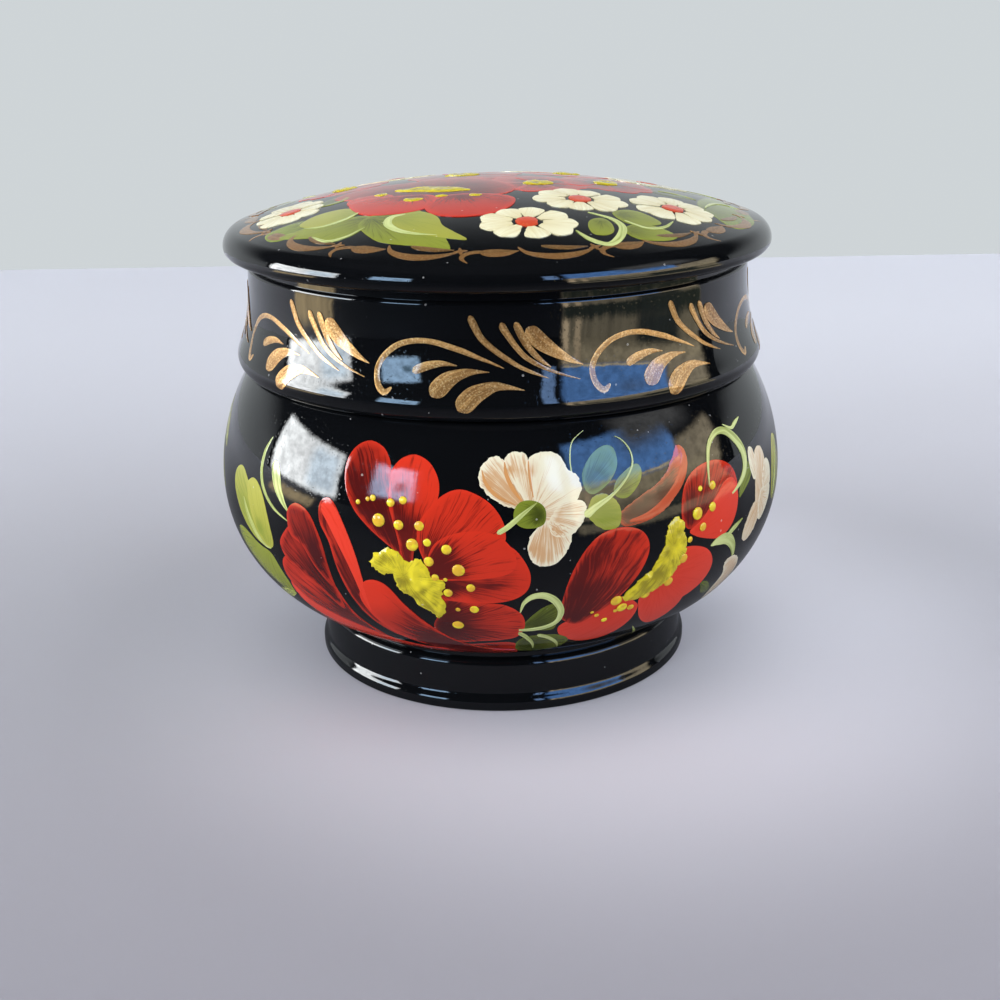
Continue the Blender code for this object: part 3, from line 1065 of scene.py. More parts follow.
class Painting:
    """Strokes of paint on a ground, gathered into one mesh.

    Layers count up from the lacquer, and each lies a little over the one below.
    """

    def __init__(self, ground, paint, seed, base=0.0):
        self.ground = ground
        self.pairs = paint_pairs(paint)
        self.base = base
        self.random = random.Random(seed)
        self.places, self.faces = [], []
        self.strokes, self.tones, self.deeps = [], [], []

    def add(self, flat, lifts, faces, strokes, tones, deep):
        """A closed sheet: a top, the same turned over below the surface, and a wall round them."""
        first, count = len(self.places), len(flat)
        self.places += [self.ground.at(place, lift) for place, lift in zip(flat, lifts)]
        self.places += [self.ground.at(place, -TUCK) for place in flat]
        self.faces += [tuple(first + i for i in face) for face in faces]
        self.faces += [tuple(first + count + i for i in reversed(face)) for face in faces]
        sides = {(face[i - 1], face[i]) for face in faces for i in range(len(face))}
        for a, b in sorted(sides):
            if (b, a) not in sides:
                self.faces.append((first + b, first + a, first + count + a, first + count + b))
        self.strokes += strokes * 2
        self.tones += tones * 2
        self.deeps += [(*deep, 1.0)] * (2 * count)

    def draw(self, rows):
        """Paints rows in turn. Each names its kind, and may end with options for it."""
        for kind, *given in rows:
            options = given.pop() if isinstance(given[-1], dict) else {}
            getattr(self, kind)(*given, **options)

    def drift(self):
        """A random start for the bristle marks."""
        return self.random.uniform(0, DRIFT) * MM, self.random.uniform(0, DRIFT) * MM

    def patch(self, pair, layer, manner, heart, outline, shades=(), lumps=0.0, step=PATCH_STEP,
              fan=FAN_WIDTH, ragged=0.0, reach=STREAK_REACH):
        """A filled shape, streaked outwards from its heart.

        Its manner is its dusk, which darkens all of it, and how much of it the streaks cover, near
        the heart and far from it. Reach says how far out the first runs. Shades are soft dark
        spots: a place, a radius in millimetres and a strength, light where it is negative. Lumps
        raise the paint unevenly.
        """
        light, deep = self.pairs[pair]
        dusk, near_cover, far_cover = manner
        places = [self.ground.flat(*point) for point in grouped(outline, 2)]
        edge = even_path(places, EDGE_STEP, closed=True)
        if sum(a[0] * b[1] - b[0] * a[1] for a, b in zip(edge, edge[1:] + edge[:1])) < 0:
            edge.reverse()
        if ragged:
            shake = ragged * MM
            edge = [(x + self.random.gauss(0, shake), y + self.random.gauss(0, shake)) for x, y in edge]
        depth, inward = edge_depth(edge)
        flat, rim, faces = filled(edge, step, depth, inward)
        heart = self.ground.flat(*heart)
        farthest = max(math.dist(heart, p) for p in edge)
        middle = [sum(p[axis] for p in edge) / len(edge) for axis in (0, 1)]
        facing = math.atan2(middle[1] - heart[1], middle[0] - heart[0])
        drift = self.drift()
        spots = [(*self.ground.flat(a, b), size * MM, dark) for a, b, size, dark in grouped(shades, 4)]
        lifts, strokes, tones = [], [], []
        for place, on_rim in zip(flat, rim):
            lift = (self.base + layer) * PAINT_STEP - (EDGE_DROP if on_rim else 0.0)
            if lumps and not on_rim:
                coarse = noise.noise(Vector((place[0], place[1], layer * MM)) / COARSE_LUMP)
                fine = noise.noise(Vector((place[1], place[0], layer * MM)) / FINE_LUMP)
                rise = eased(depth(place), 0.0, LUMP_RISE)
                lift += lumps * MM * rise * (LUMP_MEAN + COARSE_SHARE * coarse + FINE_SHARE * fine)
            lifts.append(lift)
            away = math.dist(place, heart) / farthest
            turn = math.atan2(place[1] - heart[1], place[0] - heart[0]) - facing
            turn = (turn + math.pi) % (2 * math.pi) - math.pi
            strokes.append((away * farthest + drift[0], turn * fan + drift[1]))
            near = 1 - eased(away, HEART_SIZE, reach)
            shade = 0.0
            for x, y, size, strength in spots:
                shade += strength * math.exp(-(math.dist(place, (x, y)) / size) ** 2)
            # Painted shade: low places between the lumps take more of the deeper colour, high places less
            if lumps:
                shade += LOW_SHADE - HIGH_LIGHT * (lift - layer * PAINT_STEP) / (lumps * MM)
            kept = EDGE_SHARE + (1 - EDGE_SHARE) * eased(depth(place), 0.0, BRIGHT_EDGE)
            dark = kept * (dusk + HEART_TONE * near * near_cover + SHADE_TONE * shade)
            cover = kept * (far_cover + (near_cover - far_cover) * near + SHADE_COVER * shade)
            tones.append((*mixed(light, deep, min(max(dark, 0.0), 1.0)), min(max(cover, 0.0), 1.0)))
        self.add(flat, lifts, faces, strokes, tones, deep)

    def stroke(self, pair, layer, manner, path, side=0.0, ragged=0.0):
        """A brush stroke along a path of places, each with its width in millimetres.

        Its manner is how much of it the streaks cover, and its dusk at the head and at the tail.
        Side deepens one edge: the left one as the brush goes where it is positive, the right one
        where it is negative.
        """
        light, deep = self.pairs[pair]
        streak, head_dusk, tail_dusk = manner
        places = [(*self.ground.flat(a, b), width * MM) for a, b, width in grouped(path, 3)]
        spine = even_path(places, STROKE_STEP)
        widest = max(point[2] for point in spine)
        columns = next(count for limit, count in STROKE_COLUMNS if widest < limit)
        drift = self.drift()
        head = max(spine[0][2] / 2, LEAST_HEAD)
        flat, lifts, strokes, tones = [], [], [], []
        gone = 0.0
        for i, (x, y, width) in enumerate(spine):
            left = left_of(spine[max(i - 1, 0)], spine[min(i + 1, len(spine) - 1)])
            if i:
                gone += math.dist(spine[i - 1][:2], (x, y))
            rounding = math.sqrt(max(1 - (1 - min((gone + HEAD_START) / head, 1.0)) ** 2, 0.0))
            half = max(width, LEAST_WIDTH) / 2 * rounding
            along_dusk = head_dusk + (tail_dusk - head_dusk) * i / (len(spine) - 1)
            for column in range(columns + 1):
                v = 2 * column / columns - 1
                shake = self.random.gauss(0, ragged * MM) if ragged and abs(v) == 1 else 0.0
                flat.append((x + left[0] * (v * half + shake), y + left[1] * (v * half + shake)))
                on_rim = abs(v) == 1 or i in (0, len(spine) - 1)
                lifts.append((self.base + layer) * PAINT_STEP - (EDGE_DROP if on_rim else 0.0))
                strokes.append((gone + drift[0], v * half + drift[1]))
                dark = along_dusk + abs(side) * eased(v if side > 0 else -v, -0.5, 1.0)
                tones.append((*mixed(light, deep, min(max(dark, 0.0), 1.0)), streak))
        faces = []
        row = columns + 1
        for i in range(len(spine) - 1):
            for column in range(columns):
                a = i * row + column
                faces.append((a, a + row, a + row + 1, a + 1))
        self.add(flat, lifts, faces, strokes, tones, deep)

    def mesh(self, name):
        """The painting as a mesh, with its strokes and tones on it."""
        mesh = bpy.data.meshes.new(name)
        mesh.from_pydata(self.places, [], self.faces)
        corners = [loop.vertex_index for loop in mesh.loops]
        layer = mesh.uv_layers.new(name="stroke")
        layer.uv.foreach_set("vector", [value for i in corners for value in self.strokes[i]])
        for title, values in (("tone", self.tones), ("deep", self.deeps)):
            attribute = mesh.attributes.new(title, "FLOAT_COLOR", "POINT")
            attribute.data.foreach_set("color", [value for item in values for value in item])
        mesh.shade_smooth()
        mesh.set_sharp_from_angle(angle=SHARP_ANGLE)
        return mesh


def dot_mesh(name, ground, dots, layer):
    """One point for each dot of paint: its place, its facing and its size."""
    mesh = bpy.data.meshes.new(name)
    flats = [ground.flat(a, b) for a, b, size in dots]
    places = [ground.at(place, layer * PAINT_STEP) for place in flats]
    mesh.from_pydata(places, [], [])
    facing = mesh.attributes.new("facing", "FLOAT_VECTOR", "POINT")
    normals = [(ground.at(place, MM) - ground.at(place)).normalized() for place in flats]
    facing.data.foreach_set("vector", [value for normal in normals for value in normal])
    sizes = mesh.attributes.new("size", "FLOAT", "POINT")
    sizes.data.foreach_set("value", [size * MM / 2 for a, b, size in dots])
    return mesh


# The pieces


class TRINKET_OT_bowl_shell(bpy.types.Operator):
    """Turn the bowl in black lacquer"""

    bl_idname = "trinket.bowl_shell"
    bl_label = "Bowl shell"

    def execute(self, context):
        settings = context.scene.trinket_box
        bowl, lid = outlines(settings)
        parts = ((bowl.cavity(), 1.0), (bowl.collar(), 1.0), (bowl.belly(), 0.0), (bowl.foot(), 0.0))
        lacquer = lacquer_material("turned_lacquer", settings.paint)
        settled(turned_shell("bowl_shell", parts, lacquer), "bowl", "bowl")
        return {"FINISHED"}


class TRINKET_OT_lid_shell(bpy.types.Operator):
    """Turn the lid in black lacquer"""

    bl_idname = "trinket.lid_shell"
    bl_label = "Lid shell"

    def execute(self, context):
        settings = context.scene.trinket_box
        bowl, lid = outlines(settings)
        parts = ((lid.rim(), 0.0), (lid.band(), 0.0), (lid.skirt(), 0.0), (lid.hollow(), 1.0))
        lacquer = lacquer_material("turned_lacquer", settings.paint)
        settled(turned_shell("lid_shell", parts, lacquer), "lid", "lid")
        return {"FINISHED"}


# The painting's rows. A patch gives its paint, layer, manner, heart, outline and shades, and a
# stroke its paint, layer, manner and path.

# Belly: two poppies with a white blossom, leaves and a bud between them. Places are degrees round
# from the front, and millimetres up the outline from the widest line.

# Outer petals on the left and below, a heart-shaped one behind, and a cup of four in front
LEFT_POPPY = (
    ("patch", "bright red", 1, (0.15, 0.85, 0.15), (-8, -17.5),
     (-46.5, -8, -46.3, -11.5, -43.5, -15, -39, -17.5, -33, -19, -25, -20.2, -14, -20.8, -10, -19.5,
      -13, -17.6, -18, -17.2, -25, -15.6, -31, -11.8, -36, -8.5, -42, -7),
     (-23, -16.6, 2.5, 0.45, -32.5, -11.5, 2.2, 0.5, -38, -13.5, 3, -0.2)),
    ("patch", "red", 2, (0.42, 0.8, 0.4), (-22, -16),
     (-45.6, -4, -46.8, -6, -45.8, -8.2, -43.5, -10.2, -38, -12, -31.6, -13.5, -26.4, -14.9, -30.4, -10.6,
      -33.4, -5, -38, -4, -42, -3),
     (-40, -6.5, 2.2, -0.25, -34, -9.5, 2.5, 0.3), {"reach": 0.9}),
    ("patch", "red", 3, (0.72, 0.75, 0.45), (-28, -12),
     (-44, -0.2, -45.6, -2, -44.3, -4, -41.5, -4.8, -37, -7, -32.6, -9.7, -33.3, -3, -35, 0, -38, 1.3,
      -41.5, 1.2),
     (-35, -3.5, 2, 0.3, -41.5, -2, 1.5, -0.25), {"reach": 0.9}),
    ("patch", "red", 4, (0.8, 0.7, 0.45), (-31, -8),
     (-42.8, 1.4, -42.6, 3, -40.5, 4, -37.5, 3.4, -35.4, 1.6, -33.8, -1, -33.2, -4.5, -33.4, -6,
      -36.6, -3.6, -39, -1.2, -42, -0.2),
     (-34.5, -1.5, 2, 0.3, -40.5, 2.2, 1.2, -0.2)),
    ("patch", "red", 1, (0.58, 0.85, 0.46), (-16.8, -2.4),
     (-18.5, 0.3, -21.5, 1.7, -24.5, 3.2, -27.3, 5, -29.2, 7.4, -29.6, 10, -28.2, 12, -25.5, 13,
      -22.5, 12.5, -20.8, 11.2, -20.2, 9.9, -19.6, 7, -18.4, 4, -17, 1.5, -16.6, -0.8),
     (-27.4, 8.5, 1.8, 0.3, -23.5, 6, 2.6, 0.2, -22.5, 11, 1.6, -0.15)),
    ("patch", "red", 2, (0.03, 1, 0.16), (-16.6, -2.2),
     (-20.2, 9.9, -20.2, 9.9, -18.5, 11.3, -15.8, 11.9, -13, 11.1, -11.3, 9.4, -11, 7.6, -11.9, 5.8,
      -13.2, 4.2, -14.6, 2.4, -15.4, 0.8, -16, -1.2, -17.4, -0.8, -18.6, 2.5, -20.2, 6),
     (-18.6, 4.5, 2, 0.45, -15.5, 3.5, 1.6, 0.25, -18.2, 7.4, 1.8, 0.6), {"reach": 0.8}),
    ("patch", "red", 1, (0.35, 0.8, 0.4), (-15, -12),
     (-12, -12.5, -8, -14.6, -3, -14.2, 1, -14, 3, -15, 3.2, -17.5, 2.6, -20, -3, -20.5, -10, -20.3,
      -14, -17, -14, -14),
     (-8, -17.5, 2.5, 0.3)),
    ("patch", "red", 2, (0.36, 0.9, 0.42), (-15, -10),
     (-10, -5.2, -5, -5.9, 0, -6.1, 3.2, -7.6, 4.1, -9.4, 3.8, -11, 2.4, -12.6, -1, -13.3, -5, -13.6,
      -8.5, -14, -12, -13, -13.5, -10.5, -12, -8),
     (-10.5, -10.5, 2.2, 0.45, 1.5, -9, 2, -0.25, -3, -7, 1.6, -0.15)),
    ("patch", "red", 3, (0.1, 0.95, 0.26), (-14.6, -2.2),
     (-13.6, -0.6, -14.7, 1.6, -14.6, 3.9, -12.6, 6, -10, 7.6, -7.2, 8.2, -4.2, 7.6, -1.6, 6.4, 0.2, 4.6,
      0.7, 2.9, 0.4, 2, 0.4, 2, 2.4, 1.1, 4.2, -0.7, 4.9, -2.4, 4.2, -4.2, 1.6, -5.4, -3, -5.9, -8, -5.7,
      -11.4, -5.2, -12.8, -3.2),
     (-11.5, 3.2, 2, 0.25, -9.5, -3.6, 1.3, 0.75, -6, -3.6, 1.3, 0.65, -2.4, -3.3, 1.3, 0.5,
      0.8, -2.6, 1.1, 0.3, -7, -5.1, 1, -0.3),
     {"reach": 0.5}),
    ("patch", "red", 4, (0.08, 1, 0.24), (-15, -2.6),
     (-13.4, -2.2, -12.6, 0.8, -10.6, 2.4, -7, 3.3, -3, 3.4, 0, 2.6, 2, 1, 2.4, -0.6, 1.2, -1.7,
      -1.5, -2.2, -5, -2.5, -9, -2.7, -12.4, -2.9),
     (-9.8, 0.2, 2, 0.45, -6.5, -0.8, 1.6, 0.2), {"reach": 0.62}),
    ("patch", "red", 4, (0.5, 0.7, 0.5), (-22.5, -15),
     (-34.7, 4.4, -33.6, 5.5, -31.8, 5.4, -29.6, 3.4, -27.8, 0.6, -26.8, -2.4, -26.7, -5, -26, -8.5,
      -23.5, -12, -21.8, -13.9, -24.2, -12.8, -27, -10.4, -29.4, -7, -31.2, -3, -32.4, 0.2, -34.4, 2.4),
     (-31, -2.5, 2, 0.35, -28.4, -6.5, 1.5, 0.3)),
    ("stroke", "bright red", 5, (0.3, 0, 0.5),
     (-34, 4.8, 1.7, -32, 3.8, 2.1, -29.8, 1.5, 2, -27.9, -1.2, 1.6, -26.8, -4, 1.1, -26.3, -7, 0.6,
      -26, -9, 0.15)),
    ("patch", "red", 5, (0.12, 1, 0.1), (-2, -17.4),
     (-26.6, -5.2, -25.6, -4.1, -23.4, -3.7, -21, -4.4, -18.4, -6.8, -15, -9.7, -11, -12.7, -7, -14.9,
      -2, -16.6, 2.6, -17.4, -3, -17.7, -9, -17.5, -15, -16.5, -20.5, -14.6, -24.5, -11.6, -27, -8.2,
      -27.4, -6.4),
     (-10, -15.5, 2.4, 0.45, -15.5, -13.5, 2.8, 0.5, -19, -10, 2.2, 0.3, -24.5, -5.5, 2.4, -0.4,
      -24.5, -10.5, 1.8, 0.15),
     {"reach": 1.0}))

# A dark streaked petal, one below it, a two-lobed one on the right and two above
RIGHT_POPPY = (
    ("patch", "bright red", 1, (0.3, 0.5, 0.35), (30, -6),
     (10.8, -10.6, 11.2, -12.4, 13.5, -14.2, 17, -15.6, 21, -15.8, 24.4, -14.4, 26.4, -12, 26.9, -9.6,
      26, -8.2, 22, -6.6, 17, -8, 13, -9.4),
     (19, -9.5, 2.5, 0.3, 13, -13, 1.6, -0.1)),
    ("patch", "red", 3, (0.34, 0.8, 0.52), (11.5, -13),
     (11.2, -9.2, 10.7, -7, 11.2, -4.4, 12.6, -1.6, 15, 0.9, 18, 2.4, 22, 2.7, 25.3, 1.9, 26.8, 0.4,
      26.7, -1.4, 25, -3.8, 21.8, -6.6, 18, -8.8, 14.4, -10.4),
     (13.6, -5, 1.8, 0.3, 15.5, -1, 1.6, 0.2, 25.5, -1, 1.6, -0.4, 20.5, -3, 1.6, -0.25,
      13.5, -9, 1.8, 0.3),
     {"fan": 7.0 * MM, "reach": 1.0}),
    ("patch", "bright red", 2, (0.1, 0.55, 0.2), (29, -4.5),
     (26.6, -7.4, 27.2, -9.6, 28.6, -11.6, 31, -13.4, 33.8, -14.4, 36.4, -13.8, 38, -12.2, 38.6, -10.8,
      38.6, -9.9, 38.6, -9.9, 40.4, -9.4, 42.6, -8.2, 43.8, -6.4, 43.3, -4.6, 41.2, -2.9, 38, -1.9,
      35, -1.7, 33.4, -3.5, 30.4, -6),
     (35.5, -7.5, 2, 0.12, 38, -3.6, 1.5, 0.1)),
    ("patch", "red", 2, (0.3, 0.6, 0.35), (35.5, -1.5),
     (34.2, 2, 34.2, 4, 35.2, 6, 37.5, 7.4, 41, 8, 45, 7.8, 48.4, 6.6, 49.8, 4.8, 49.5, 3, 46, 1.2,
      40, 1.4, 36, 0.6),
     (36, 3, 2.4, 0.35, 42, 3.4, 2, 0.2)),
    ("patch", "bright red", 3, (0.08, 0.5, 0.15), (34.5, -0.5),
     (36, 0.4, 39, 1.4, 43, 3.6, 46, 5, 48.6, 5, 49.9, 3.2, 49.4, 0.8, 47.6, -1, 44.4, -1.9, 40.4, -1.3,
      37.2, -0.4),
     (38, 0.6, 1.2, 0.3)))

# An orange-red crescent that bends up to the right
BUD = (
    ("patch", "bud", 1, (0.1, 0.8, 0.4), (20, 4.5),
     (21, 3.6, 22, 2.8, 26, 2.9, 30, 3.7, 33.2, 5.3, 35.6, 7.2, 36.9, 9.2, 36.4, 10.5, 35, 10.9,
      33.6, 9.8, 31.6, 8.2, 29, 7, 26, 6.2, 23, 5.2, 21.2, 4.5),
     (25, 5.6, 2.2, 0.9, 29.4, 6.9, 1.8, 0.8, 32.2, 8.4, 1.3, 0.5, 35.6, 9.6, 1.8, -0.6),
     {"ragged": 0.03}),
    ("stroke", "bud edge", 2, (0.2, 0.2, 0),
     (23, 3.3, 0.3, 27, 3.6, 0.9, 31, 4.9, 1.1, 34.2, 6.7, 1.2, 36, 8.8, 1.1, 36, 10.4, 0.4)))

# The heaped yellow middles of the poppies, and the pollen dots with their widths
BELLY_STAMENS = (
    ("patch", "yellow", 7, (0, 0.2, 0.3), (-17.5, -2.5),
     (-23.9, -1.2, -22.6, 0, -20.4, 0.7, -18.4, 0.4, -17, -0.7, -15.8, -0.4, -14.4, -0.2, -13.2, -1.1,
      -12.3, -2.6, -11.2, -2.6, -10.2, -3.2, -10.6, -4.3, -11, -5.2, -10.4, -6.2, -10.8, -7.6,
      -12.2, -8.6, -13.2, -7.6, -15.4, -6.6, -16.4, -5.4, -18, -5, -19.4, -3.4, -19.8, -2.4, -21.6, -2.7,
      -23, -2),
     (-18.2, -3.6, 0.9, 0.8, -16.3, -5.1, 0.8, 0.7, -13.2, -6.8, 1, 0.6, -21.5, -0.8, 1, 0.35,
      -15.3, -2.2, 1.2, -0.4, -14.3, -4.4, 0.5, 0.5),
     {"lumps": 0.34, "step": 0.3 * MM, "ragged": 0.09}),
    ("patch", "yellow", 7, (0.1, 0.3, 0.35), (32, -1),
     (31.8, 2.4, 33.4, 2.5, 34.6, 1.6, 34.4, 0.6, 35.2, -0.6, 35.2, -2, 34, -3.6, 32.8, -5, 30.4, -6.4,
      27, -7.2, 24, -7.6, 22.6, -6.9, 24, -5.6, 26, -4.4, 28, -3.4, 29.2, -1.8, 30.2, -0.6, 30.6, 1),
     (29, -4.4, 1, 0.7, 26, -6, 1.2, 0.5, 30.4, -1.6, 0.8, 0.45, 33.2, -1.6, 1.2, -0.4),
     {"lumps": 0.34, "step": 0.3 * MM, "ragged": 0.09}))
POLLEN = (-22, 4, 1.6, -15.7, 1.5, 1.5, -7.6, -1.3, 1.5, -8.6, -9.7, 1.4, -18.2, 3.7, 1.2,
          -14.4, 3.8, 1.15, -9.6, 1.2, 1.2, -13, 1.9, 0.95, -12.8, -0.4, 1.2, -5.6, -3.6, 1.05,
          -9.7, -4.4, 1.1, -5.2, -6.8, 1.1, -19.8, 6.2, 1, -17.5, 6.6, 0.95, -11.8, -2.4, 0.9,
          -26.2, 5.8, 0.6, -24.3, 6.3, 0.55, -23.3, 6.5, 0.75, -8.2, -6.9, 0.6, -10, -2.6, 0.5,
          37.8, 2.3, 1.6, 21.4, -7.1, 1.5, 23, -8.5, 1.4, 41.8, 2.5, 1.2, 39.2, 0.4, 1.1, 42.2, 5.1, 1.1,
          34.8, -3, 1.3, 27.5, -7, 1.3, 32.3, -5.9, 1.3, 25, -8.8, 0.9, 38.9, 5.2, 0.7, 36, -0.7, 0.8,
          18, -9.2, 0.6, 20, -10.4, 0.8, 21.8, -8.9, 0.6, 16.9, -8.5, 0.45)

# The half-open white blossom between the poppies, and white petals at the right edge
BLOSSOMS = (
    ("patch", "cream", 1, (0.05, 0.75, 0.45), (5, 5.2),
     (4, 6, 1, 6.2, -2, 7.4, -3.8, 8.9, -3.9, 10.2, -2.6, 11.5, -0.8, 12, 0.8, 11.4, 3, 9.5, 5, 7),
     (-2.2, 9.2, 0.9, 0.7, 0.6, 8.2, 1, 0.3, -3, 11, 0.9, -0.3), {"ragged": 0.05}),
    ("patch", "cream", 2, (0, 0.6, 0.4), (5, 5.2),
     (5, 6, 3, 8, 1, 10, 0.6, 11.4, 2, 12.4, 4.4, 12.2, 5.2, 11, 6.4, 9, 6.6, 6.8),
     (1.4, 10.4, 0.7, 0.9, 4.6, 10.6, 0.8, 0.4), {"ragged": 0.05}),
    ("patch", "cream", 3, (0, 0.45, 0.14), (5, 5.2),
     (6, 6, 5, 9, 4.6, 11, 6, 12, 8.6, 12.3, 11, 11.6, 12, 10.2, 13.6, 9.4, 14.4, 7.8, 13.4, 6.6, 14.8, 6,
      14.2, 4.6, 12.4, 3, 9.6, 2.6, 7, 3.6, 5.6, 4.8),
     (5.4, 10.4, 0.7, 0.7, 8.5, 4, 1.2, 0.35, 12.4, 3.9, 1, 0.3), {"ragged": 0.05}),
    ("patch", "cream", 4, (0, 0.7, 0.4), (6, 5.4),
     (8.2, 4.4, 10.2, 6.2, 13, 6.7, 14.9, 6, 14.5, 4.4, 12.6, 2.8, 10, 2.3, 8.4, 2.9),
     (10, 2.9, 0.9, 0.5, 9, 5.6, 0.9, 0.3), {"ragged": 0.04}),
    ("stroke", "orange", 5, (0.5, 0, 0), (0.7, 11.3, 0.15, 1, 9.8, 0.45, 2.3, 8, 0.45, 4.2, 6.3, 0.1)),
    ("stroke", "orange", 5, (0.5, 0, 0),
     (-3.4, 10.4, 0.12, -2.6, 8.8, 0.4, -0.6, 7.4, 0.4, 2.6, 6.4, 0.1)),
    ("stroke", "orange", 5, (0.5, 0, 0), (5, 11.4, 0.1, 5.1, 9.4, 0.3, 5.6, 7.2, 0.1)),
    ("patch", "cream", 4, (0.05, 0.6, 0.5), (8, 6.5),
     (6, 3.6, 4.6, 2.2, 4.6, 0.4, 5.8, -0.7, 7.6, -1, 9.4, -0.6, 10.8, 0.2, 11.8, 1.4, 12, 3, 9.6, 4.2,
      7.4, 4.4),
     (5.2, 1.2, 0.8, 0.8, 8.4, 3, 1.3, 0.25, 7, 0.5, 0.7, 0.3), {"ragged": 0.05}),
    ("patch", "peach", 2, (0.3, 0.5, 0.3), (59, 4.5),
     (57.6, 4, 60, 3, 61.4, 1, 60.6, -0.8, 58.2, -1.2, 57, 0.6),
     (), {"ragged": 0.03}),
    ("patch", "cream", 3, (0.05, 0.5, 0.4), (59, 0.8),
     (55.2, 6.2, 56, 7.5, 57.4, 7.3, 58.2, 5.6, 58, 3.8, 56.8, 3.2, 55.6, 4.4),
     (), {"ragged": 0.04}),
    ("patch", "peach", 3, (0.05, 0.5, 0.4), (59, 0.8),
     (57.4, 4.4, 58.2, 6.4, 59.8, 7, 61.8, 6.6, 62.8, 5, 62.2, 3, 60.2, 1.2, 58.2, 2.2),
     (), {"ragged": 0.04}),
    ("patch", "cream", 3, (0.05, 0.5, 0.4), (59, 0.8),
     (60.4, 2.6, 61.6, 4.2, 63.4, 4.8, 65.2, 4, 65.8, 2.4, 65, 1, 62.4, 0.6, 60.6, 1.2),
     (), {"ragged": 0.04}),
    ("patch", "cream", 3, (0.05, 0.5, 0.4), (59, 0.8),
     (59.6, 1.4, 62.4, 1.5, 65, 1.2, 65.2, -0.2, 63.6, -1.6, 61.2, -2.8, 59.2, -2.4, 58.4, -0.6),
     (), {"ragged": 0.04}),
    ("patch", "peach", 3, (0.05, 0.5, 0.4), (59, 0.8),
     (57, 0.4, 59.4, -0.4, 59.4, -2, 57.6, -3.8, 55.2, -4.6, 53.2, -4, 53, -2.4, 54.8, -0.6),
     (), {"ragged": 0.04}),
    ("patch", "cream", 2, (0.25, 0.5, 0.4), (58, -5),
     (48.8, -6.6, 51, -6, 54.4, -7, 57, -9.4, 57.6, -12.6, 55, -14.6, 51, -14.2, 49.6, -11.6, 50.4, -9),
     (), {"ragged": 0.04}))

# Leaves under and between the flowers
BELLY_LEAVES = (
    ("patch", "olive", 6, (0.1, 0.8, 0.2), (7.5, 5.5),
     (2.2, 4.6, 2.2, 5.8, 3.2, 6.7, 5, 6.9, 6.8, 6.5, 7.7, 5.6, 7.4, 4.2, 5.8, 3.7, 3.6, 3.8),
     (7, 4.8, 1, 0.6)),
    ("patch", "blue", 1, (0.15, 0.7, 0.35), (14, 7),
     (15.2, 7.4, 14.6, 8.6, 15, 10, 17, 11.6, 19.6, 12.4, 21.4, 11.9, 21.6, 10, 20, 8.4, 18, 7.4, 16.4, 7),
     (18, 9, 1.5, 0.3)),
    ("patch", "olive", 1, (0.1, 0.7, 0.3), (20, 6.5),
     (20.3, 7, 21.2, 6.2, 23.2, 6.2, 25.6, 7.6, 26.3, 9, 25.4, 9.8, 23, 9.2, 21, 8.2)),
    ("patch", "fresh", 2, (0, 0.8, 0.5), (15, 5.2),
     (15.3, 5.6, 16.4, 6.7, 18.4, 6.9, 20.6, 6, 21.4, 4.4, 20.8, 2.9, 18.4, 2.7, 16.4, 3.5, 15.2, 4.5),
     (18.5, 4.4, 1, 0.3), {"ragged": 0.03}),
    ("patch", "lime", 1, (0, 0.6, 0.3), (-50, -3.6),
     (-63, 4.6, -60, 5.6, -57, 4.4, -54.5, 2.4, -52, 0, -50.5, -3.2, -53, -3.4, -57, -2.4, -61, -0.2,
      -63.6, 2.4),
     (-59, 0.5, 2, 0.4)),
    ("patch", "sunny", 2, (0, 0.6, 0.15), (-49.5, -4),
     (-57, 3.6, -55, 4.9, -52.6, 4.6, -50.4, 3, -48.8, 0.4, -48, -2, -48.8, -3.2, -51, -3.3, -53.4, -1.8,
      -55.6, 0.6),
     (-52.5, -1.2, 1, 0.7)),
    ("stroke", "light lime", 3, (0.4, 0, 0),
     (-58.6, 1.8, 0.3, -56.6, -0.4, 0.9, -54.2, -2.2, 1, -51.4, -3.3, 0.5, -49.4, -3.4, 0.2)),
    ("patch", "green", 1, (0, 0.25, 0.08), (-50, -3),
     (-64, -3.4, -60, -2.8, -54, -3.8, -50, -4.2, -48.4, -6, -47.4, -8.4, -48, -10.4, -51, -10.6,
      -55.6, -9.6, -60, -8, -64, -5.6),
     (-50, -9.5, 1.6, 0.2)),
    ("stroke", "bright lime", 2, (0.5, 0, 0),
     (-57.5, -12.6, 0.9, -54, -12, 1.7, -50.6, -11, 1.4, -47.6, -10.2, 0.4)),
    ("patch", "dark", 1, (0.2, 0.8, 0.4), (3, -10.6),
     (3.4, -10.2, 4.6, -8.8, 7, -7, 9.4, -6.4, 10.6, -8, 10.2, -10.2, 9.4, -11.2, 6, -11),
     (8, -9.6, 1.2, 0.3)),
    ("patch", "dark", 1, (0.1, 0.8, 0.4), (2.5, -14.5),
     (2.6, -14.4, 4, -12.8, 7, -12.3, 11, -12.6, 13.6, -14, 13.4, -16, 10.6, -18, 6.4, -18.6, 3, -17.4),
     (7, -15.5, 1.6, 0.3)),
    ("stroke", "olive", 1, (0.5, 0, 0), (55.8, 5.8, 1, 54, 4.6, 2, 52, 3.4, 1.5, 50.4, 2.2, 0.4)),
    ("stroke", "dark", 1, (0.4, 0, 0),
     (48.2, -11.4, 0.6, 46.2, -10.4, 1.5, 44.4, -9.2, 1.3, 42.8, -8.4, 0.4)),
    ("patch", "sunny", 1, (0.1, 0.7, 0.4), (68, -2.5),
     (68, -1.5, 67, 1, 68, 4, 70.5, 6.4, 73.5, 6, 75, 3, 74.6, 0, 71.5, -2)))

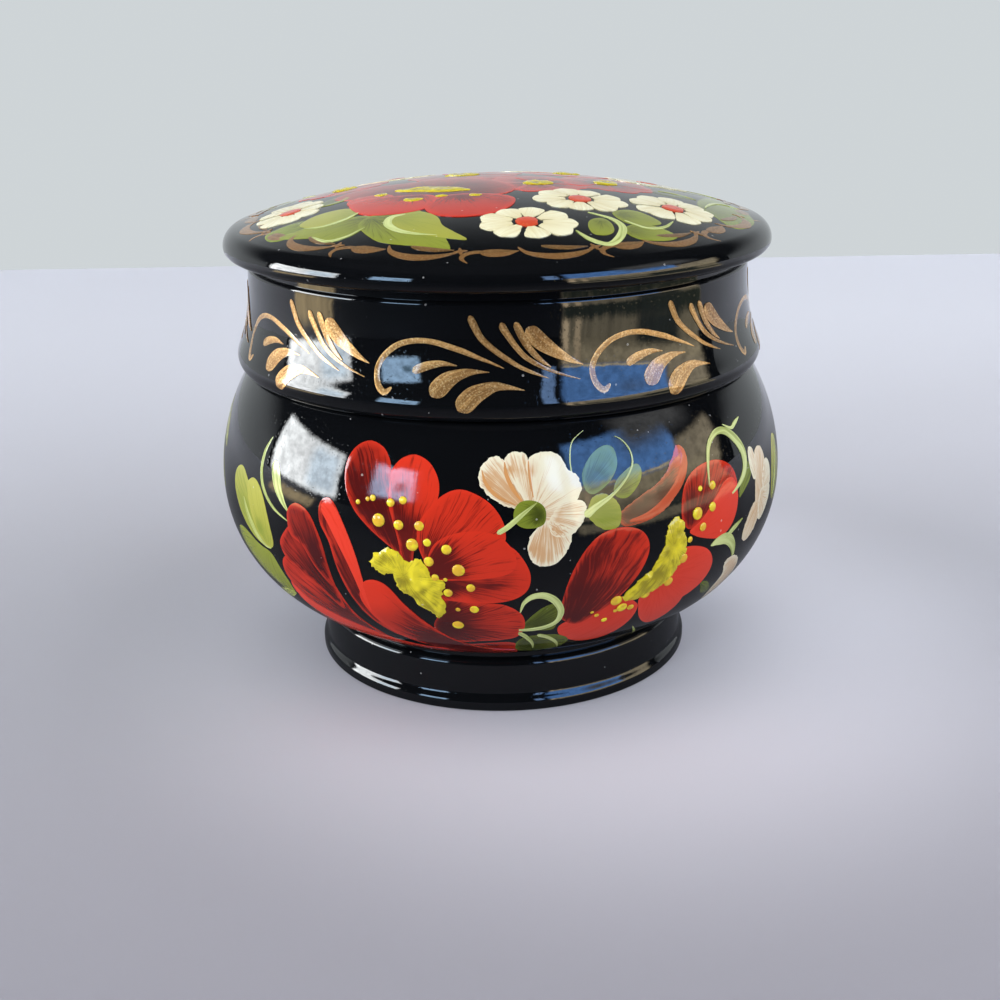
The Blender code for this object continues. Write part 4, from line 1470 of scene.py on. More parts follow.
# Leaves at the sides: the turn of their roots and which way they point, then rise, spread and width
SIDE_LEAF_ROOTS = ((88.0, 1), (-74.0, -1))
SIDE_LEAF_SIZES = ((9.0, 9.0, 2.6), (3.5, 12.0, 3.2), (-3.0, 12.0, 3.2), (-9.5, 9.0, 2.6))

# Pale curls and stems, drawn with the tip of the brush over the leaves
BELLY_CURLS = (
    ("stroke", "pale", 8, (0.4, 0, 0), (-0.8, 3.2, 0.55, 1, 3.9, 0.6, 3.4, 5.2, 0.5, 6.2, 6.6, 0.1)),
    ("stroke", "pale", 2, (0.5, 0, 0.1),
     (-47.7, 8.2, 1.1, -47, 6.8, 1.7, -45.8, 5, 1.4, -44.2, 3.6, 0.8, -42.6, 2.6, 0.2)),
    ("stroke", "pale", 3, (0.4, 0.5, 0.3),
     (-50.2, 10.8, 0.15, -51.6, 8.8, 0.5, -51.8, 6.4, 0.6, -50.4, 4.2, 0.55, -47, 2.4, 0.4,
      -42.8, 1.4, 0.1)),
    ("stroke", "pale", 7, (0.4, 0, 0.1),
     (14.6, 4.6, 1.1, 16.6, 5.5, 0.75, 19.8, 6.6, 0.38, 22.8, 8.2, 0.25, 24.6, 9.8, 0.2, 24.6, 11.4, 0.16,
      23.4, 12.7, 0.12, 22, 13.3, 0.06)),
    ("stroke", "pale", 1, (0.2, 0, 0.1),
     (13.6, 7.6, 0.1, 12.9, 9.2, 0.14, 12.7, 11.2, 0.14, 13.5, 13.2, 0.12, 16, 14.4, 0.05)),
    ("stroke", "pale", 7, (0.4, 0, 0),
     (3.1, -7.4, 0.15, 3.8, -5.9, 0.45, 5.4, -5, 0.7, 7.6, -5, 0.85, 9.6, -6, 0.9, 10.7, -7.6, 0.8,
      10.2, -9.4, 0.6, 8.2, -10.4, 0.6, 5.4, -10.8, 0.5, 3, -10.8, 0.3)),
    ("stroke", "pale", 7, (0.4, 0.1, 0.5),
     (3, -11.4, 0.6, 4.6, -12.6, 0.6, 6, -14.4, 0.45, 6.5, -16.4, 0.1)),
    ("stroke", "pale", 7, (0.4, 0.1, 0.5),
     (6.8, -12.2, 0.5, 9, -13, 0.6, 11.2, -14.8, 0.45, 12.2, -17, 0.1)),
    ("stroke", "pale", 4, (0.4, 0.4, 0.6),
     (29, -14.2, 0.15, 31, -16, 0.35, 32.8, -17.8, 0.3, 34.4, -19.4, 0.1)),
    ("stroke", "pale", 6, (0.4, 0.15, 0),
     (41.4, 5, 0.1, 41.8, 7.4, 0.4, 43.2, 9.8, 0.6, 46, 11, 0.75, 49, 10.8, 0.95, 51.8, 9.4, 1.2,
      53.6, 7.4, 1.2, 53.2, 5.4, 0.9, 51, 4, 0.6, 48, 3.1, 0.2)),
    ("stroke", "pale", 7, (0.4, 0, 0),
     (49, 11.6, 0.1, 51.5, 10.8, 0.4, 53.5, 11.2, 0.5, 55.5, 11.6, 0.1)),
    ("stroke", "pale", 7, (0.4, 0, 0.15),
     (42, -2.6, 0.2, 44.2, -2.3, 1.2, 47, -2.6, 1.5, 49.4, -4, 1.1, 51, -5.8, 0.4)),
    ("stroke", "pale", 8, (0.4, 0, 0), (46.2, -2.4, 0.3, 48.8, -1.5, 0.6, 51.6, -0.8, 0.1)),
    ("stroke", "pale", 3, (0.4, 0, 0), (69, -1.2, 0.2, 70.4, 1.6, 0.5, 72, 4, 0.4, 74, 6, 0.1)))

# The pollen dots lie this many layers up, and are this share of their width high
POLLEN_LAYER = 6
POLLEN_HEIGHT = 0.26


def side_leaves():
    """Four leaves one over the other at each side of the belly, which point away from the front."""
    rows = []
    for side, turned in SIDE_LEAF_ROOTS:
        for rise, spread, size in SIDE_LEAF_SIZES:
            path = (side, rise - 3.4, 0.5, side + turned * spread * 0.35, rise - 1.6, size,
                    side + turned * spread * 0.75, rise + 0.6, size * 0.8,
                    side + turned * spread, rise + 2.4, 0.15)
            rows.append(("stroke", "sunny" if rise > 0 else "olive", 1, (0.6, 0, 0.3), path, {"side": 0.5}))
    return tuple(rows)


def belly_painting(settings, seed, base=0.0):
    """A painting on the belly."""
    bowl, lid = outlines(settings)
    return Painting(SideGround(bowl.belly(), settings.bowl.belly_height), settings.paint, seed, base)


def repeated(name, painting, count, material, body, front_step=None):
    """A painted motif, set round the axis."""
    settings = {"Count": count, "Front step": front_step or 2 * math.pi / count, "Material": material}
    return settled(baked(name, painting.mesh(name + "_motif"), ring_group("repeat_round"), settings), body)


class TRINKET_OT_belly_poppies(bpy.types.Operator):
    """Paint the poppies and the bud on the bowl, front and back"""

    bl_idname = "trinket.belly_poppies"
    bl_label = "Belly poppies"

    def execute(self, context):
        settings = context.scene.trinket_box
        work = belly_painting(settings, 11)
        work.draw(LEFT_POPPY + RIGHT_POPPY + BUD)
        repeated("belly_poppies", work, 2, brushed_material("poppy_paint", settings.paint), "bowl")
        return {"FINISHED"}


class TRINKET_OT_belly_blossoms(bpy.types.Operator):
    """Paint the white blossoms on the bowl, front and back"""

    bl_idname = "trinket.belly_blossoms"
    bl_label = "Belly blossoms"

    def execute(self, context):
        settings = context.scene.trinket_box
        work = belly_painting(settings, 12, 0.2)
        work.draw(BLOSSOMS)
        repeated("belly_blossoms", work, 2, brushed_material("petal_cream", settings.paint), "bowl")
        return {"FINISHED"}


class TRINKET_OT_belly_leaves(bpy.types.Operator):
    """Paint the leaves and the pale curls on the bowl, front and back"""

    bl_idname = "trinket.belly_leaves"
    bl_label = "Belly leaves"

    def execute(self, context):
        settings = context.scene.trinket_box
        work = belly_painting(settings, 13, 0.4)
        work.draw(BELLY_LEAVES + side_leaves() + BELLY_CURLS)
        repeated("belly_leaves", work, 2, brushed_material("leaf_paint", settings.paint), "bowl")
        return {"FINISHED"}


class TRINKET_OT_belly_stamens(bpy.types.Operator):
    """Heap the yellow middles of the poppies and set their pollen dots"""

    bl_idname = "trinket.belly_stamens"
    bl_label = "Belly stamens"

    def execute(self, context):
        settings = context.scene.trinket_box
        work = belly_painting(settings, 14)
        work.draw(BELLY_STAMENS)
        repeated("belly_stamens", work, 2, brushed_material("stamen_yellow", settings.paint), "bowl")
        front = grouped(POLLEN, 3)
        dots = front + [(degrees + 180.0, along, size) for degrees, along, size in front]
        mesh = dot_mesh("belly_pollen_places", work.ground, dots, POLLEN_LAYER)
        look = {"Height share": POLLEN_HEIGHT, "Material": pollen_material("pollen_yellow", settings.paint)}
        settled(baked("belly_pollen", mesh, dots_group("paint_dots"), look), "bowl")
        return {"FINISHED"}


# How many sprays and scrolls there are, and how strongly the painted glints show in their gold
SPRAYS, SCROLLS = 8, 13
SPRAY_PAINTED_GLINT, BORDER_PAINTED_GLINT = 0.5, 0.2

# Band: a gold spray that repeats round it. Places are degrees round and millimetres over the floor.

# An arch with three leaves hanging under it, and four strokes that fall to the right
BAND_MOTIF = (
    ("stroke", "gold", 1, (0.5, 0, 0.2),
     (-21, 44.9, 0.3, -22.4, 44.3, 0.75, -23.9, 45.1, 0.75, -24.4, 46.6, 0.7, -23.5, 47.9, 0.7,
      -21.7, 49, 0.68, -19.7, 49.7, 0.64, -17.3, 50.1, 0.62, -14.9, 50.2, 0.6, -12.4, 50.05, 0.62,
      -9.8, 49.65, 0.64, -6.8, 49.1, 0.62, -3.8, 48.4, 0.45, -0.8, 47.7, 0.25, 0.9, 47.25, 0.08)),
    ("stroke", "gold", 2, (0.6, 0, 0.2),
     (-16.9, 46.7, 0.8, -15.6, 47.1, 1, -13.6, 47.5, 0.95, -11, 47.75, 0.6, -8.1, 47.55, 0.08)),
    ("stroke", "gold", 3, (0.6, 0, 0.2),
     (-12.9, 44.2, 1.2, -11.8, 44.9, 2.1, -10.2, 45.8, 2, -8.4, 46.4, 1.45, -6.2, 46.8, 0.9,
      -4.2, 46.9, 0.45, -1.9, 46.85, 0.08)),
    ("stroke", "gold", 4, (0.6, 0, 0.2),
     (-7.7, 42.7, 1.2, -6.6, 43.4, 2.2, -5, 44.3, 2.2, -3, 44.9, 1.7, -0.8, 45.3, 1.1, 1.8, 45.2, 0.55,
      4.7, 44.85, 0.08)),
    ("stroke", "gold", 5, (0.5, 0, 0.25),
     (-5.6, 53.1, 0.7, -4.9, 52.2, 0.85, -3.5, 50.7, 0.75, -1.5, 49.55, 0.66, 1.2, 48.4, 0.58,
      4.2, 47.3, 0.46, 7.3, 46.5, 0.28, 9.5, 46, 0.08)),
    ("stroke", "gold", 6, (0.5, 0, 0.25),
     (0.5, 52.3, 0.7, 1, 51.6, 0.85, 2, 50.7, 0.75, 3.3, 49.6, 0.66, 5.2, 48.4, 0.58, 7.9, 47.4, 0.46,
      11.4, 46.5, 0.28, 15.6, 45.7, 0.08)),
    ("stroke", "gold", 7, (0.5, 0, 0.2),
     (3.2, 52.3, 0.7, 3.9, 51.5, 0.9, 4.8, 50.4, 0.85, 6, 49.3, 0.75, 7.9, 48.1, 0.55, 10, 47.2, 0.12)),
    ("stroke", "gold", 8, (0.6, 0, 0.2),
     (5.6, 51.7, 1.4, 6.6, 50.95, 1.9, 8.4, 49.95, 1.85, 10.4, 49.1, 1.45, 12.6, 48.3, 0.95,
      14.6, 47.7, 0.5, 16.4, 47.25, 0.08)))


# Lid: poppies, daisies and leaves on the crown inside a scrolled border. Places are millimetres
# across and away, as seen from above with the front at the bottom.

# Each gives its place, its half width across and away, and a turn in degrees
DAISIES = (
    (3.5, -23.2, 6.1, 5.0, 8.0), (10.1, -13.3, 6.0, 5.2, 20.0), (21.6, -12.4, 5.2, 5.9, 2.0),
    (-26.0, -7.0, 4.4, 6.4, 11.0), (-14.0, 14.5, 5.8, 5.8, 5.0), (4.5, 19.5, 5.8, 5.6, 16.0),
    (20.5, 9.0, 5.6, 5.6, 24.0))
LID_STAMENS = (
    (-8.0, -7.4, 4.9, 1.5, 20.0), (-14.4, -7.2, 0.8, 0.9, 0.0), (-10.2, -12.4, 1.4, 0.8, 10.0),
    (-6.8, -11.7, 0.8, 0.6, 0.0), (-2.6, -12.2, 0.8, 0.6, 0.0), (5.2, -4.6, 1.9, 1.5, 0.0),
    (14.2, -0.6, 1.5, 2.0, 30.0), (-4.5, 5.5, 2.2, 1.9, 0.0), (-20.5, 6.0, 1.6, 2.1, 20.0),
    (9.5, 10.0, 1.9, 1.7, 0.0), (-3.0, 21.5, 1.6, 1.5, 0.0))

# A daisy's petals, how unevenly they are drawn, and the heart's half widths
PETALS = 9
PETAL_WIDTH = 0.71
PETAL_SWAY = 4.0
PETAL_REACH = (0.93, 1.03)
HEART_HALVES = (1.35, 1.55)
HEART_UNEVEN = (0.92, 1.08)
STAMEN_UNEVEN = (0.8, 1.15)
GRAIN_STEP = 0.35 * MM
STAMEN_STEP = 0.32 * MM

# Looser poppies heaped round the middle of the crown: place, size, turn and dusk
LID_POPPIES = (
    (5.4, -4.6, 6.6, 150.0, 0.3), (14.2, -0.8, 6.4, 75.0, 0.45), (-4.5, 5.5, 7.4, -40.0, 0.35),
    (-20.5, 6.0, 6.2, -80.0, 0.3), (9.5, 10.0, 6.4, 15.0, 0.3), (-3.0, 21.5, 5.4, 190.0, 0.25))
# One side of a petal and the other, as shares of its length and half width, and how far out its notch is
PETAL_RISE = ((0.12, 0.0), (0.45, 0.72), (0.78, 1.0), (1.0, 0.55))
PETAL_FALL = ((1.02, -0.5), (0.8, -1.0), (0.45, -0.72))
NOTCH = 0.93
NOTCH_SWAY = 0.1
POPPY_REACH = (0.88, 1.05)
POPPY_HALF = (0.44, 0.54)
MOST_DUSK = 0.15

# A wide poppy in front, seen from the side
FRONT_POPPIES = (
    ("patch", "red", 4, (0.5, 0.7, 0.3), (-8, -10.5),
     (-20.6, -5, -19.4, -1.8, -15.6, 0.6, -11.6, 0, -8.6, 1.2, -4, 0.4, -0.6, -2.4, 1.6, -5.4, 2.4, -9,
      0.6, -12, -4, -12.6, -9.4, -12, -14, -10, -17.6, -8.2),
     (-14, -5, 2.5, 0.2, -3, -6, 2.5, 0.25)),
    ("patch", "red", 5, (0.25, 0.6, 0.1), (-11, -8.5),
     (-18.6, -9.6, -18, -7.4, -15.6, -6.8, -13, -8.4, -13.4, -11.6, -15.2, -12.6, -17.6, -11.6)),
    ("patch", "red", 6, (0.22, 0.6, 0.03), (-10, -8),
     (-18.2, -11.2, -17.6, -9.2, -14.8, -8.6, -11.4, -9.6, -8.2, -10.6, -7.2, -13.4, -8.4, -16.8,
      -11, -18, -14.7, -17.4, -16.8, -15.2),
     (-10.6, -10.6, 1.6, 0.3)),
    ("patch", "red", 6, (0.25, 0.6, 0.05), (-5, -9.5),
     (-8.2, -13.6, -8.6, -16.8, -7.4, -19.6, -4.8, -21, -1.6, -20.8, 0.8, -19, 2.2, -16, 1.8, -13.2,
      -1.4, -11.6, -5.6, -11.4),
     (-3.4, -12.6, 1.8, 0.3, 1, -15, 2, 0.3)))

# Leaves in front: paint, layer, base and outline
FRONT_LEAVES = (
    ("olive", 1, (-21.5, -16),
     (-22.4, -14.4, -25, -13.8, -27.8, -15.9, -27, -19.2, -24.9, -19.9, -22.6, -18.4)),
    ("lid green", 2, (-14.6, -18.4),
     (-15.2, -17.2, -17.5, -16.5, -20.4, -17.2, -23, -17.4, -25.9, -18.9, -23.8, -20.6, -21.6, -21.8,
      -19, -24, -17.2, -23.4, -15.4, -21.6, -14.2, -19)),
    ("lid lime", 3, (-16.4, -15.4),
     (-16.6, -14.4, -18, -12.2, -20.2, -11.8, -22.4, -12.8, -23.8, -15.4, -22.6, -17.4, -20.4, -18,
      -17.8, -17.2)),
    ("lid green", 3, (-14.8, -18.6),
     (-15.9, -21.8, -16.2, -19.4, -15.2, -17.6, -12.6, -16.6, -9.6, -17, -8, -20, -6.6, -24, -6, -26.6,
      -5.2, -30.5, -6.8, -30.4, -8.8, -29, -10.6, -28.3, -13.6, -26.3)),
    ("lid lime", 4, (-12, -19.4),
     (-12.6, -20, -11.4, -18.4, -9, -18, -7, -20.4, -6.2, -23.6, -4.8, -25.9, -3.4, -28.2, -6.5, -27.1,
      -9, -25.5, -11.5, -23.6)),
    ("lid green", 2, (12.2, -21),
     (10.5, -23.7, 10.9, -21.5, 12.3, -20.5, 13.3, -22, 13.4, -24.6, 12.4, -26, 11, -25.9)),
    ("lid green", 2, (14.2, -18.4),
     (13.7, -18.2, 15.4, -16.2, 17.4, -16.6, 19.4, -19.6, 17.6, -21.3, 15.1, -21.3)),
    ("lid green", 3, (14.8, -23.6),
     (14.6, -24, 15.9, -21.6, 18.5, -21.2, 20.8, -23.4, 19.3, -25.4, 16.2, -26.1)),
    ("olive", 1, (26.2, -9),
     (25.4, -7.2, 26.4, -2, 28.6, 3.6, 30.8, 1, 32.2, -4, 32.2, -9.5, 30.4, -14.2, 28.4, -15.6,
      26.8, -12)))

# Leaves further back: base, tip, width, bend and paint
LID_LEAVES = (
    (-29.5, 2.0, -28.5, 11.0, 4.6, 0.5, "olive"), (-23.5, 9.5, -24.5, 18.5, 4.8, 0.6, "lid lime"),
    (-19.0, 15.5, -17.5, 25.5, 4.6, -0.6, "olive"), (-10.0, 21.0, -11.5, 29.0, 4.2, 0.5, "lid dark"),
    (2.5, 24.5, 5.5, 30.5, 4.0, 0.4, "lid lime"), (11.0, 17.0, 13.5, 27.0, 4.8, -0.6, "olive"),
    (16.0, 13.5, 23.0, 20.5, 4.8, 0.6, "lid dark"), (24.0, 4.5, 30.2, 9.5, 4.4, 0.5, "olive"),
    (19.5, -2.5, 25.8, -3.2, 3.6, 0.4, "lid dark"), (-19.5, -3.0, -22.0, -8.0, 3.4, 0.3, "lid dark"))
LEAF_SIDE = ((0.12, 0.62), (0.3, 0.96), (0.5, 1.0), (0.72, 0.72), (0.9, 0.26))
LEAF_OUTLINE = ((0.0, 0.06), *LEAF_SIDE, (1.0, 0.0), *((part, -half) for part, half in LEAF_SIDE[::-1]))
LEAF_LEAD = ((0.22, 0.9, 0.5), (0.5, 1.2, 0.9), (0.78, 0.8, 0.7), (0.98, 0.0, 0.08))
LEAD_ASIDE = 0.33
LEAF_FAN = 14.0 * MM

LID_CURLS = (
    (-10.8, -18.4, 0.4, -12.4, -19, 0.9, -12.7, -21.3, 1, -11.5, -23.7, 0.8, -9.4, -25.4, 0.5,
     -6.8, -26.4, 0.1),
    (-16.6, -15, 0.2, -18.2, -17.1, 0.5, -20.6, -18.2, 0.5, -23, -17.6, 0.1),
    (-21.6, -21.4, 0.2, -19.6, -23.9, 0.6, -17.3, -23.5, 0.5, -15.4, -21.4, 0.1),
    (9, -25.3, 0.2, 10.5, -27.6, 0.7, 12.6, -28.5, 0.9, 14, -26, 1, 14.5, -22.8, 0.9, 13.4, -20.4, 0.6,
     10.8, -18.8, 0.15),
    (15, -20.6, 0.2, 17.4, -22.3, 0.5, 19.6, -21, 0.5, 20.9, -18.4, 0.15),
    (26.2, -8, 0.2, 27.6, -4, 0.5, 29.4, -1.4, 0.5, 31.4, -2.2, 0.15),
    (-24.6, 7, 0.2, -26.6, 11, 0.6, -25.6, 16, 0.6, -22, 20, 0.15),
    (-12, 20.6, 0.2, -8, 25, 0.6, -3, 27.4, 0.6, 1, 27.6, 0.15),
    (14.8, 16, 0.2, 17.6, 20, 0.6, 17.4, 24, 0.5, 14.8, 27.4, 0.15),
    (22.6, 14.4, 0.2, 26, 13.6, 0.6, 28.6, 10.2, 0.5, 29.8, 6.4, 0.15))

# A hook that runs into a fat leaf, then a crescent with a thin leaf inside it
BORDER_UNIT = (
    ("stroke", "border", 1, (0.4, 0, 0),
     (-3.3, -34, 0.15, -3.9, -33, 0.5, -3.6, -32, 0.7, -2.4, -31.5, 0.75, -1.2, -31.6, 0.5)),
    ("stroke", "border", 2, (0.4, 0, 0),
     (-1.9, -31.5, 0.7, -0.8, -31.8, 1.7, 0.7, -31.8, 1.6, 2.4, -31.3, 0.1)),
    ("stroke", "border", 3, (0.4, 0, 0),
     (2.3, -30.4, 0.2, 3.1, -31.6, 0.6, 4.6, -32.3, 1.05, 6.6, -32.4, 1.35, 8.4, -31.8, 1.15,
      9.7, -30.9, 0.7, 10.8, -29.7, 0.2)),
    ("stroke", "border", 4, (0.4, 0, 0),
     (4.9, -30, 0.4, 6.2, -30.2, 0.9, 8, -30.1, 0.9, 10.1, -29.5, 0.15)))
# The star after the crescent: its middle, its arm and the turns of its two strokes
STAR = (10.9, -29.5)
STAR_ARM = 0.8
STAR_TURNS = (35.0, 125.0)


def paint_daisy(work, across, away, half_across, half_away, start):
    """Nine round-ended petals drawn in towards the middle, and an orange heart."""
    width = PETAL_WIDTH * 2 * math.pi * (half_across + half_away) / 2 / PETALS
    for i in range(PETALS):
        turn = math.radians(start + 360.0 * i / PETALS + work.random.uniform(-PETAL_SWAY, PETAL_SWAY))
        far = work.random.uniform(*PETAL_REACH)
        path = []
        for part, wide in ((far, 0.75), (far - 0.14, 1.12), (0.66, 1.0), (0.45, 0.6), (0.3, 0.3)):
            path.append(across + half_across * part * math.sin(turn))
            path.append(away + half_away * part * math.cos(turn))
            path.append(width * wide)
        work.stroke("daisy", 3 + i % 2, (0.4, 0, 0.7), path, 0.2 if i % 3 else -0.2, 0.03)
    ring = []
    for i in range(8):
        turn = i * math.pi / 4
        ring.append(across + HEART_HALVES[0] * math.cos(turn) * work.random.uniform(*HEART_UNEVEN))
        ring.append(away + HEART_HALVES[1] * math.sin(turn) * work.random.uniform(*HEART_UNEVEN))
    work.patch("daisy heart", 6, (0, 0.2, 0.5), (across, away), ring, (), 0.08, GRAIN_STEP, ragged=0.04)


def paint_poppy(work, across, away, size, turned, dusk):
    """Six notched petals."""
    for i in range(6):
        turn = math.radians(turned + 60.0 * i)
        right, up = math.cos(turn), math.sin(turn)
        far = size * work.random.uniform(*POPPY_REACH)
        wide = size * work.random.uniform(*POPPY_HALF)
        notch = (NOTCH, work.random.uniform(-NOTCH_SWAY, NOTCH_SWAY))
        outline = []
        for out, over in (*PETAL_RISE, notch, notch, *PETAL_FALL):
            outline.append(across + right * (out * far) - up * (over * wide))
            outline.append(away + up * (out * far) + right * (over * wide))
        manner = (dusk + work.random.uniform(0, MOST_DUSK), 0.8, 0.15)
        work.patch("red", 1 + i % 3, manner, (across, away), outline, (across, away, 2.2, 0.4))


def paint_stamens(work, across, away, half_across, half_away, lean):
    """A heaped yellow middle."""
    cosine, sine = math.cos(math.radians(lean)), math.sin(math.radians(lean))
    ring = []
    for i in range(10):
        turn = 2 * math.pi * i / 10
        x = half_across * math.cos(turn) * work.random.uniform(*STAMEN_UNEVEN)
        y = half_away * math.sin(turn) * work.random.uniform(*STAMEN_UNEVEN)
        ring += (across + x * cosine + y * sine, away - x * sine + y * cosine)
    heart = (across, away - half_away)
    work.patch("yellow", 8, (0.1, 0.4, 0.4), heart, ring, (), 0.16, STAMEN_STEP, ragged=0.04)


def paint_leaf(work, base, tip, width, bend, pair):
    """A pointed leaf with a light stroke down one side."""
    over = left_of(base, tip)

    def beside(part, aside):
        aside += bend * math.sin(math.pi * part)
        along = mixed(base, tip, part)
        return along[0] + over[0] * aside, along[1] + over[1] * aside

    outline = [value for part, half in LEAF_OUTLINE for value in beside(part, half * width / 2)]
    shades = (*mixed(base, tip, 0.3), 2.2, 0.35)
    work.patch(pair, 1 + work.random.randrange(2), (0.05, 0.9, 0.4), base, outline, shades, fan=LEAF_FAN)
    offset = math.copysign(LEAD_ASIDE * width, bend)
    lead = [value for part, lean, wide in LEAF_LEAD for value in (*beside(part, offset * lean), wide)]
    work.stroke("sunny", 4, (0.6, 0, 0.3), lead)


def crown_painting(settings, seed, base=0.0):
    """A painting on the lid's crown."""
    bowl, lid = outlines(settings)
    return Painting(TopGround(lid.rim()), settings.paint, seed, base)


def laid(name, painting, brush, paint):
    """A painting on the lid that isn't repeated."""
    return settled(plain(name, painting.mesh(name), brushed_material(brush, paint)), "lid")


class TRINKET_OT_band_spray(bpy.types.Operator):
    """Paint the gold sprays round the lid's band"""

    bl_idname = "trinket.band_spray"
    bl_label = "Band spray"

    def execute(self, context):
        settings = context.scene.trinket_box
        bowl, lid = outlines(settings)
        ground = BandGround(lid.band() + lid.skirt(), lid.rest_height + settings.lid.flare_height)
        work = Painting(ground, settings.paint, 21)
        work.draw(BAND_MOTIF)
        gold = gold_material("gold_stroke", settings.paint, SPRAY_PAINTED_GLINT)
        repeated("band_spray", work, SPRAYS, gold, "lid", settings.lid.spray_step)
        return {"FINISHED"}


class TRINKET_OT_lid_border(bpy.types.Operator):
    """Paint the scrolled border of the lid"""

    bl_idname = "trinket.lid_border"
    bl_label = "Lid border"

    def execute(self, context):
        settings = context.scene.trinket_box
        work = crown_painting(settings, 22)
        work.draw(BORDER_UNIT)
        for turn in STAR_TURNS:
            right = STAR_ARM * math.cos(math.radians(turn))
            up = STAR_ARM * math.sin(math.radians(turn))
            start, end = (STAR[0] - right, STAR[1] - up, 0.15), (STAR[0] + right, STAR[1] + up, 0.12)
            work.stroke("border", 5, (0.3, 0, 0), (*start, *STAR, 0.55, *end))
        gold = gold_material("gold_border", settings.paint, BORDER_PAINTED_GLINT)
        repeated("lid_border", work, SCROLLS, gold, "lid")
        return {"FINISHED"}


class TRINKET_OT_lid_poppies(bpy.types.Operator):
    """Paint the poppies on the lid and heap their yellow middles"""

    bl_idname = "trinket.lid_poppies"
    bl_label = "Lid poppies"

    def execute(self, context):
        settings = context.scene.trinket_box
        work = crown_painting(settings, 23)
        for row in LID_POPPIES:
            paint_poppy(work, *row)
        work.draw(FRONT_POPPIES)
        laid("lid_poppies", work, "poppy_paint", settings.paint)
        work = crown_painting(settings, 24)
        for row in LID_STAMENS:
            paint_stamens(work, *row)
        laid("lid_stamens", work, "stamen_yellow", settings.paint)
        return {"FINISHED"}


class TRINKET_OT_lid_daisies(bpy.types.Operator):
    """Paint the white daisies on the lid"""

    bl_idname = "trinket.lid_daisies"
    bl_label = "Lid daisies"

    def execute(self, context):
        settings = context.scene.trinket_box
        work = crown_painting(settings, 25, 4.2)
        for row in DAISIES:
            paint_daisy(work, *row)
        laid("lid_daisies", work, "petal_cream", settings.paint)
        return {"FINISHED"}


class TRINKET_OT_lid_leaves(bpy.types.Operator):
    """Paint the leaves and curls on the lid"""

    bl_idname = "trinket.lid_leaves"
    bl_label = "Lid leaves"

    def execute(self, context):
        settings = context.scene.trinket_box
        work = crown_painting(settings, 26, 0.4)
        for pair, layer, base, outline in FRONT_LEAVES:
            work.patch(pair, layer, (0, 0.4, 0.06), base, outline, (*base, 2.4, 0.2), fan=LEAF_FAN)
        for *ends, width, bend, pair in LID_LEAVES:
            paint_leaf(work, ends[:2], ends[2:], width, bend, pair)
        for path in LID_CURLS:
            work.stroke("pale", 6, (0.4, 0, 0.2), path)
        laid("lid_leaves", work, "leaf_paint", settings.paint)
        return {"FINISHED"}


# Stage

SCREEN_RADIUS = 1.2
SCREEN_CENTRE = 40.0 * MM
SCREEN_FOOT = 1.0 * MM
SCREEN_RISE = 46.0
SCREEN_TURNS = range(-120, 121, 5)
SCREEN_STRENGTH = 16.0
BLACK = (0.0, 0.0, 0.0)

# What stands round the box: bearings and elevations in degrees, with their softness and their light
ROOM_AREAS = (
    ((-97.0, -74.0), (-9.0, -4.5), 1.6, (0.26, 0.20, 0.11)),
    ((-102.0, -66.0), (-1.0, 19.0), 1.3, (0.96, 0.99, 1.0)),
    ((-81.0, -67.5), (0.5, 17.0), 3.0, (0.72, 0.85, 0.96)),
    ((-51.0, -34.0), (5.5, 20.5), 1.2, (0.34, 0.52, 0.74)),
    ((-41.0, -37.0), (9.5, 13.5), 1.2, (0.10, 0.17, 0.24)),
    ((27.0, 96.0), (-12.5, 11.5), 1.2, (0.115, 0.098, 0.064)),
    ((27.0, 96.0), (2.0, 11.5), 3.0, (0.22, 0.185, 0.12)),
    ((27.0, 29.5), (-6.0, 10.0), 0.8, (0.36, 0.28, 0.18)),
    ((32.0, 34.5), (-6.0, 10.0), 0.8, (0.32, 0.25, 0.16)),
    ((27.0, 96.0), (-8.0, -5.6), 0.8, (0.012, 0.015, 0.010)),
    ((61.0, 84.0), (-7.0, 2.0), 2.5, (0.012, 0.015, 0.012)),
    ((27.0, 76.0), (11.0, 34.0), 1.8, (0.075, 0.18, 0.42)),
    ((54.0, 90.0), (24.0, 42.0), 6.0, (0.06, 0.06, 0.06)),
    ((76.0, 98.0), (8.0, 19.0), 2.0, (0.19, 0.16, 0.11)),
    ((18.5, 23.5), (11.5, 30.0), 1.0, (0.14, 0.24, 0.44)),
    ((27.0, 78.0), (10.8, 12.0), 0.6, (0.42, 0.35, 0.22)))
AREA_SHAKE = 4.0

# Soft lamps: bearings and elevations in degrees, radiance and tint
LAMPS = (
    ("left_window", (-102.0, -66.0), (-1.0, 19.0), 13.0, (1.0, 1.0, 1.0)),
    ("small_window", (-53.0, -34.0), (5.0, 22.0), 9.0, (0.85, 0.95, 1.0)),
    ("right_sky", (27.0, 95.0), (8.0, 40.0), 2.5, (0.90, 0.95, 1.0)),
    ("overhead", (-60.0, 60.0), (62.0, 118.0), 1.5, (1.0, 0.96, 0.90)),
    ("front_fill", (-40.0, 50.0), (18.0, 58.0), 1.0, (1.0, 0.95, 0.88)))
LAMP_DISTANCE = 2.5
WORLD_TINT = (0.035, 0.036, 0.04, 1.0)

# Floor and backdrop
FLOOR_SIDE, FLOOR_NEAR, FLOOR_FAR, BACKDROP_TOP = 4.0, 4.0, 0.304, 1.6
# A painted pool of light on the floor round the box's front, a little blue: its middle, its blue, and how
# much it lifts the floor's tone near and far
PAINTED_POOL_CENTRE = (0.014, -0.006, 0.0)
PAINTED_POOL_BLUE = 1.04
PAINTED_POOL_LIFT = (0.026, 0.075, 1.6, 1.0)
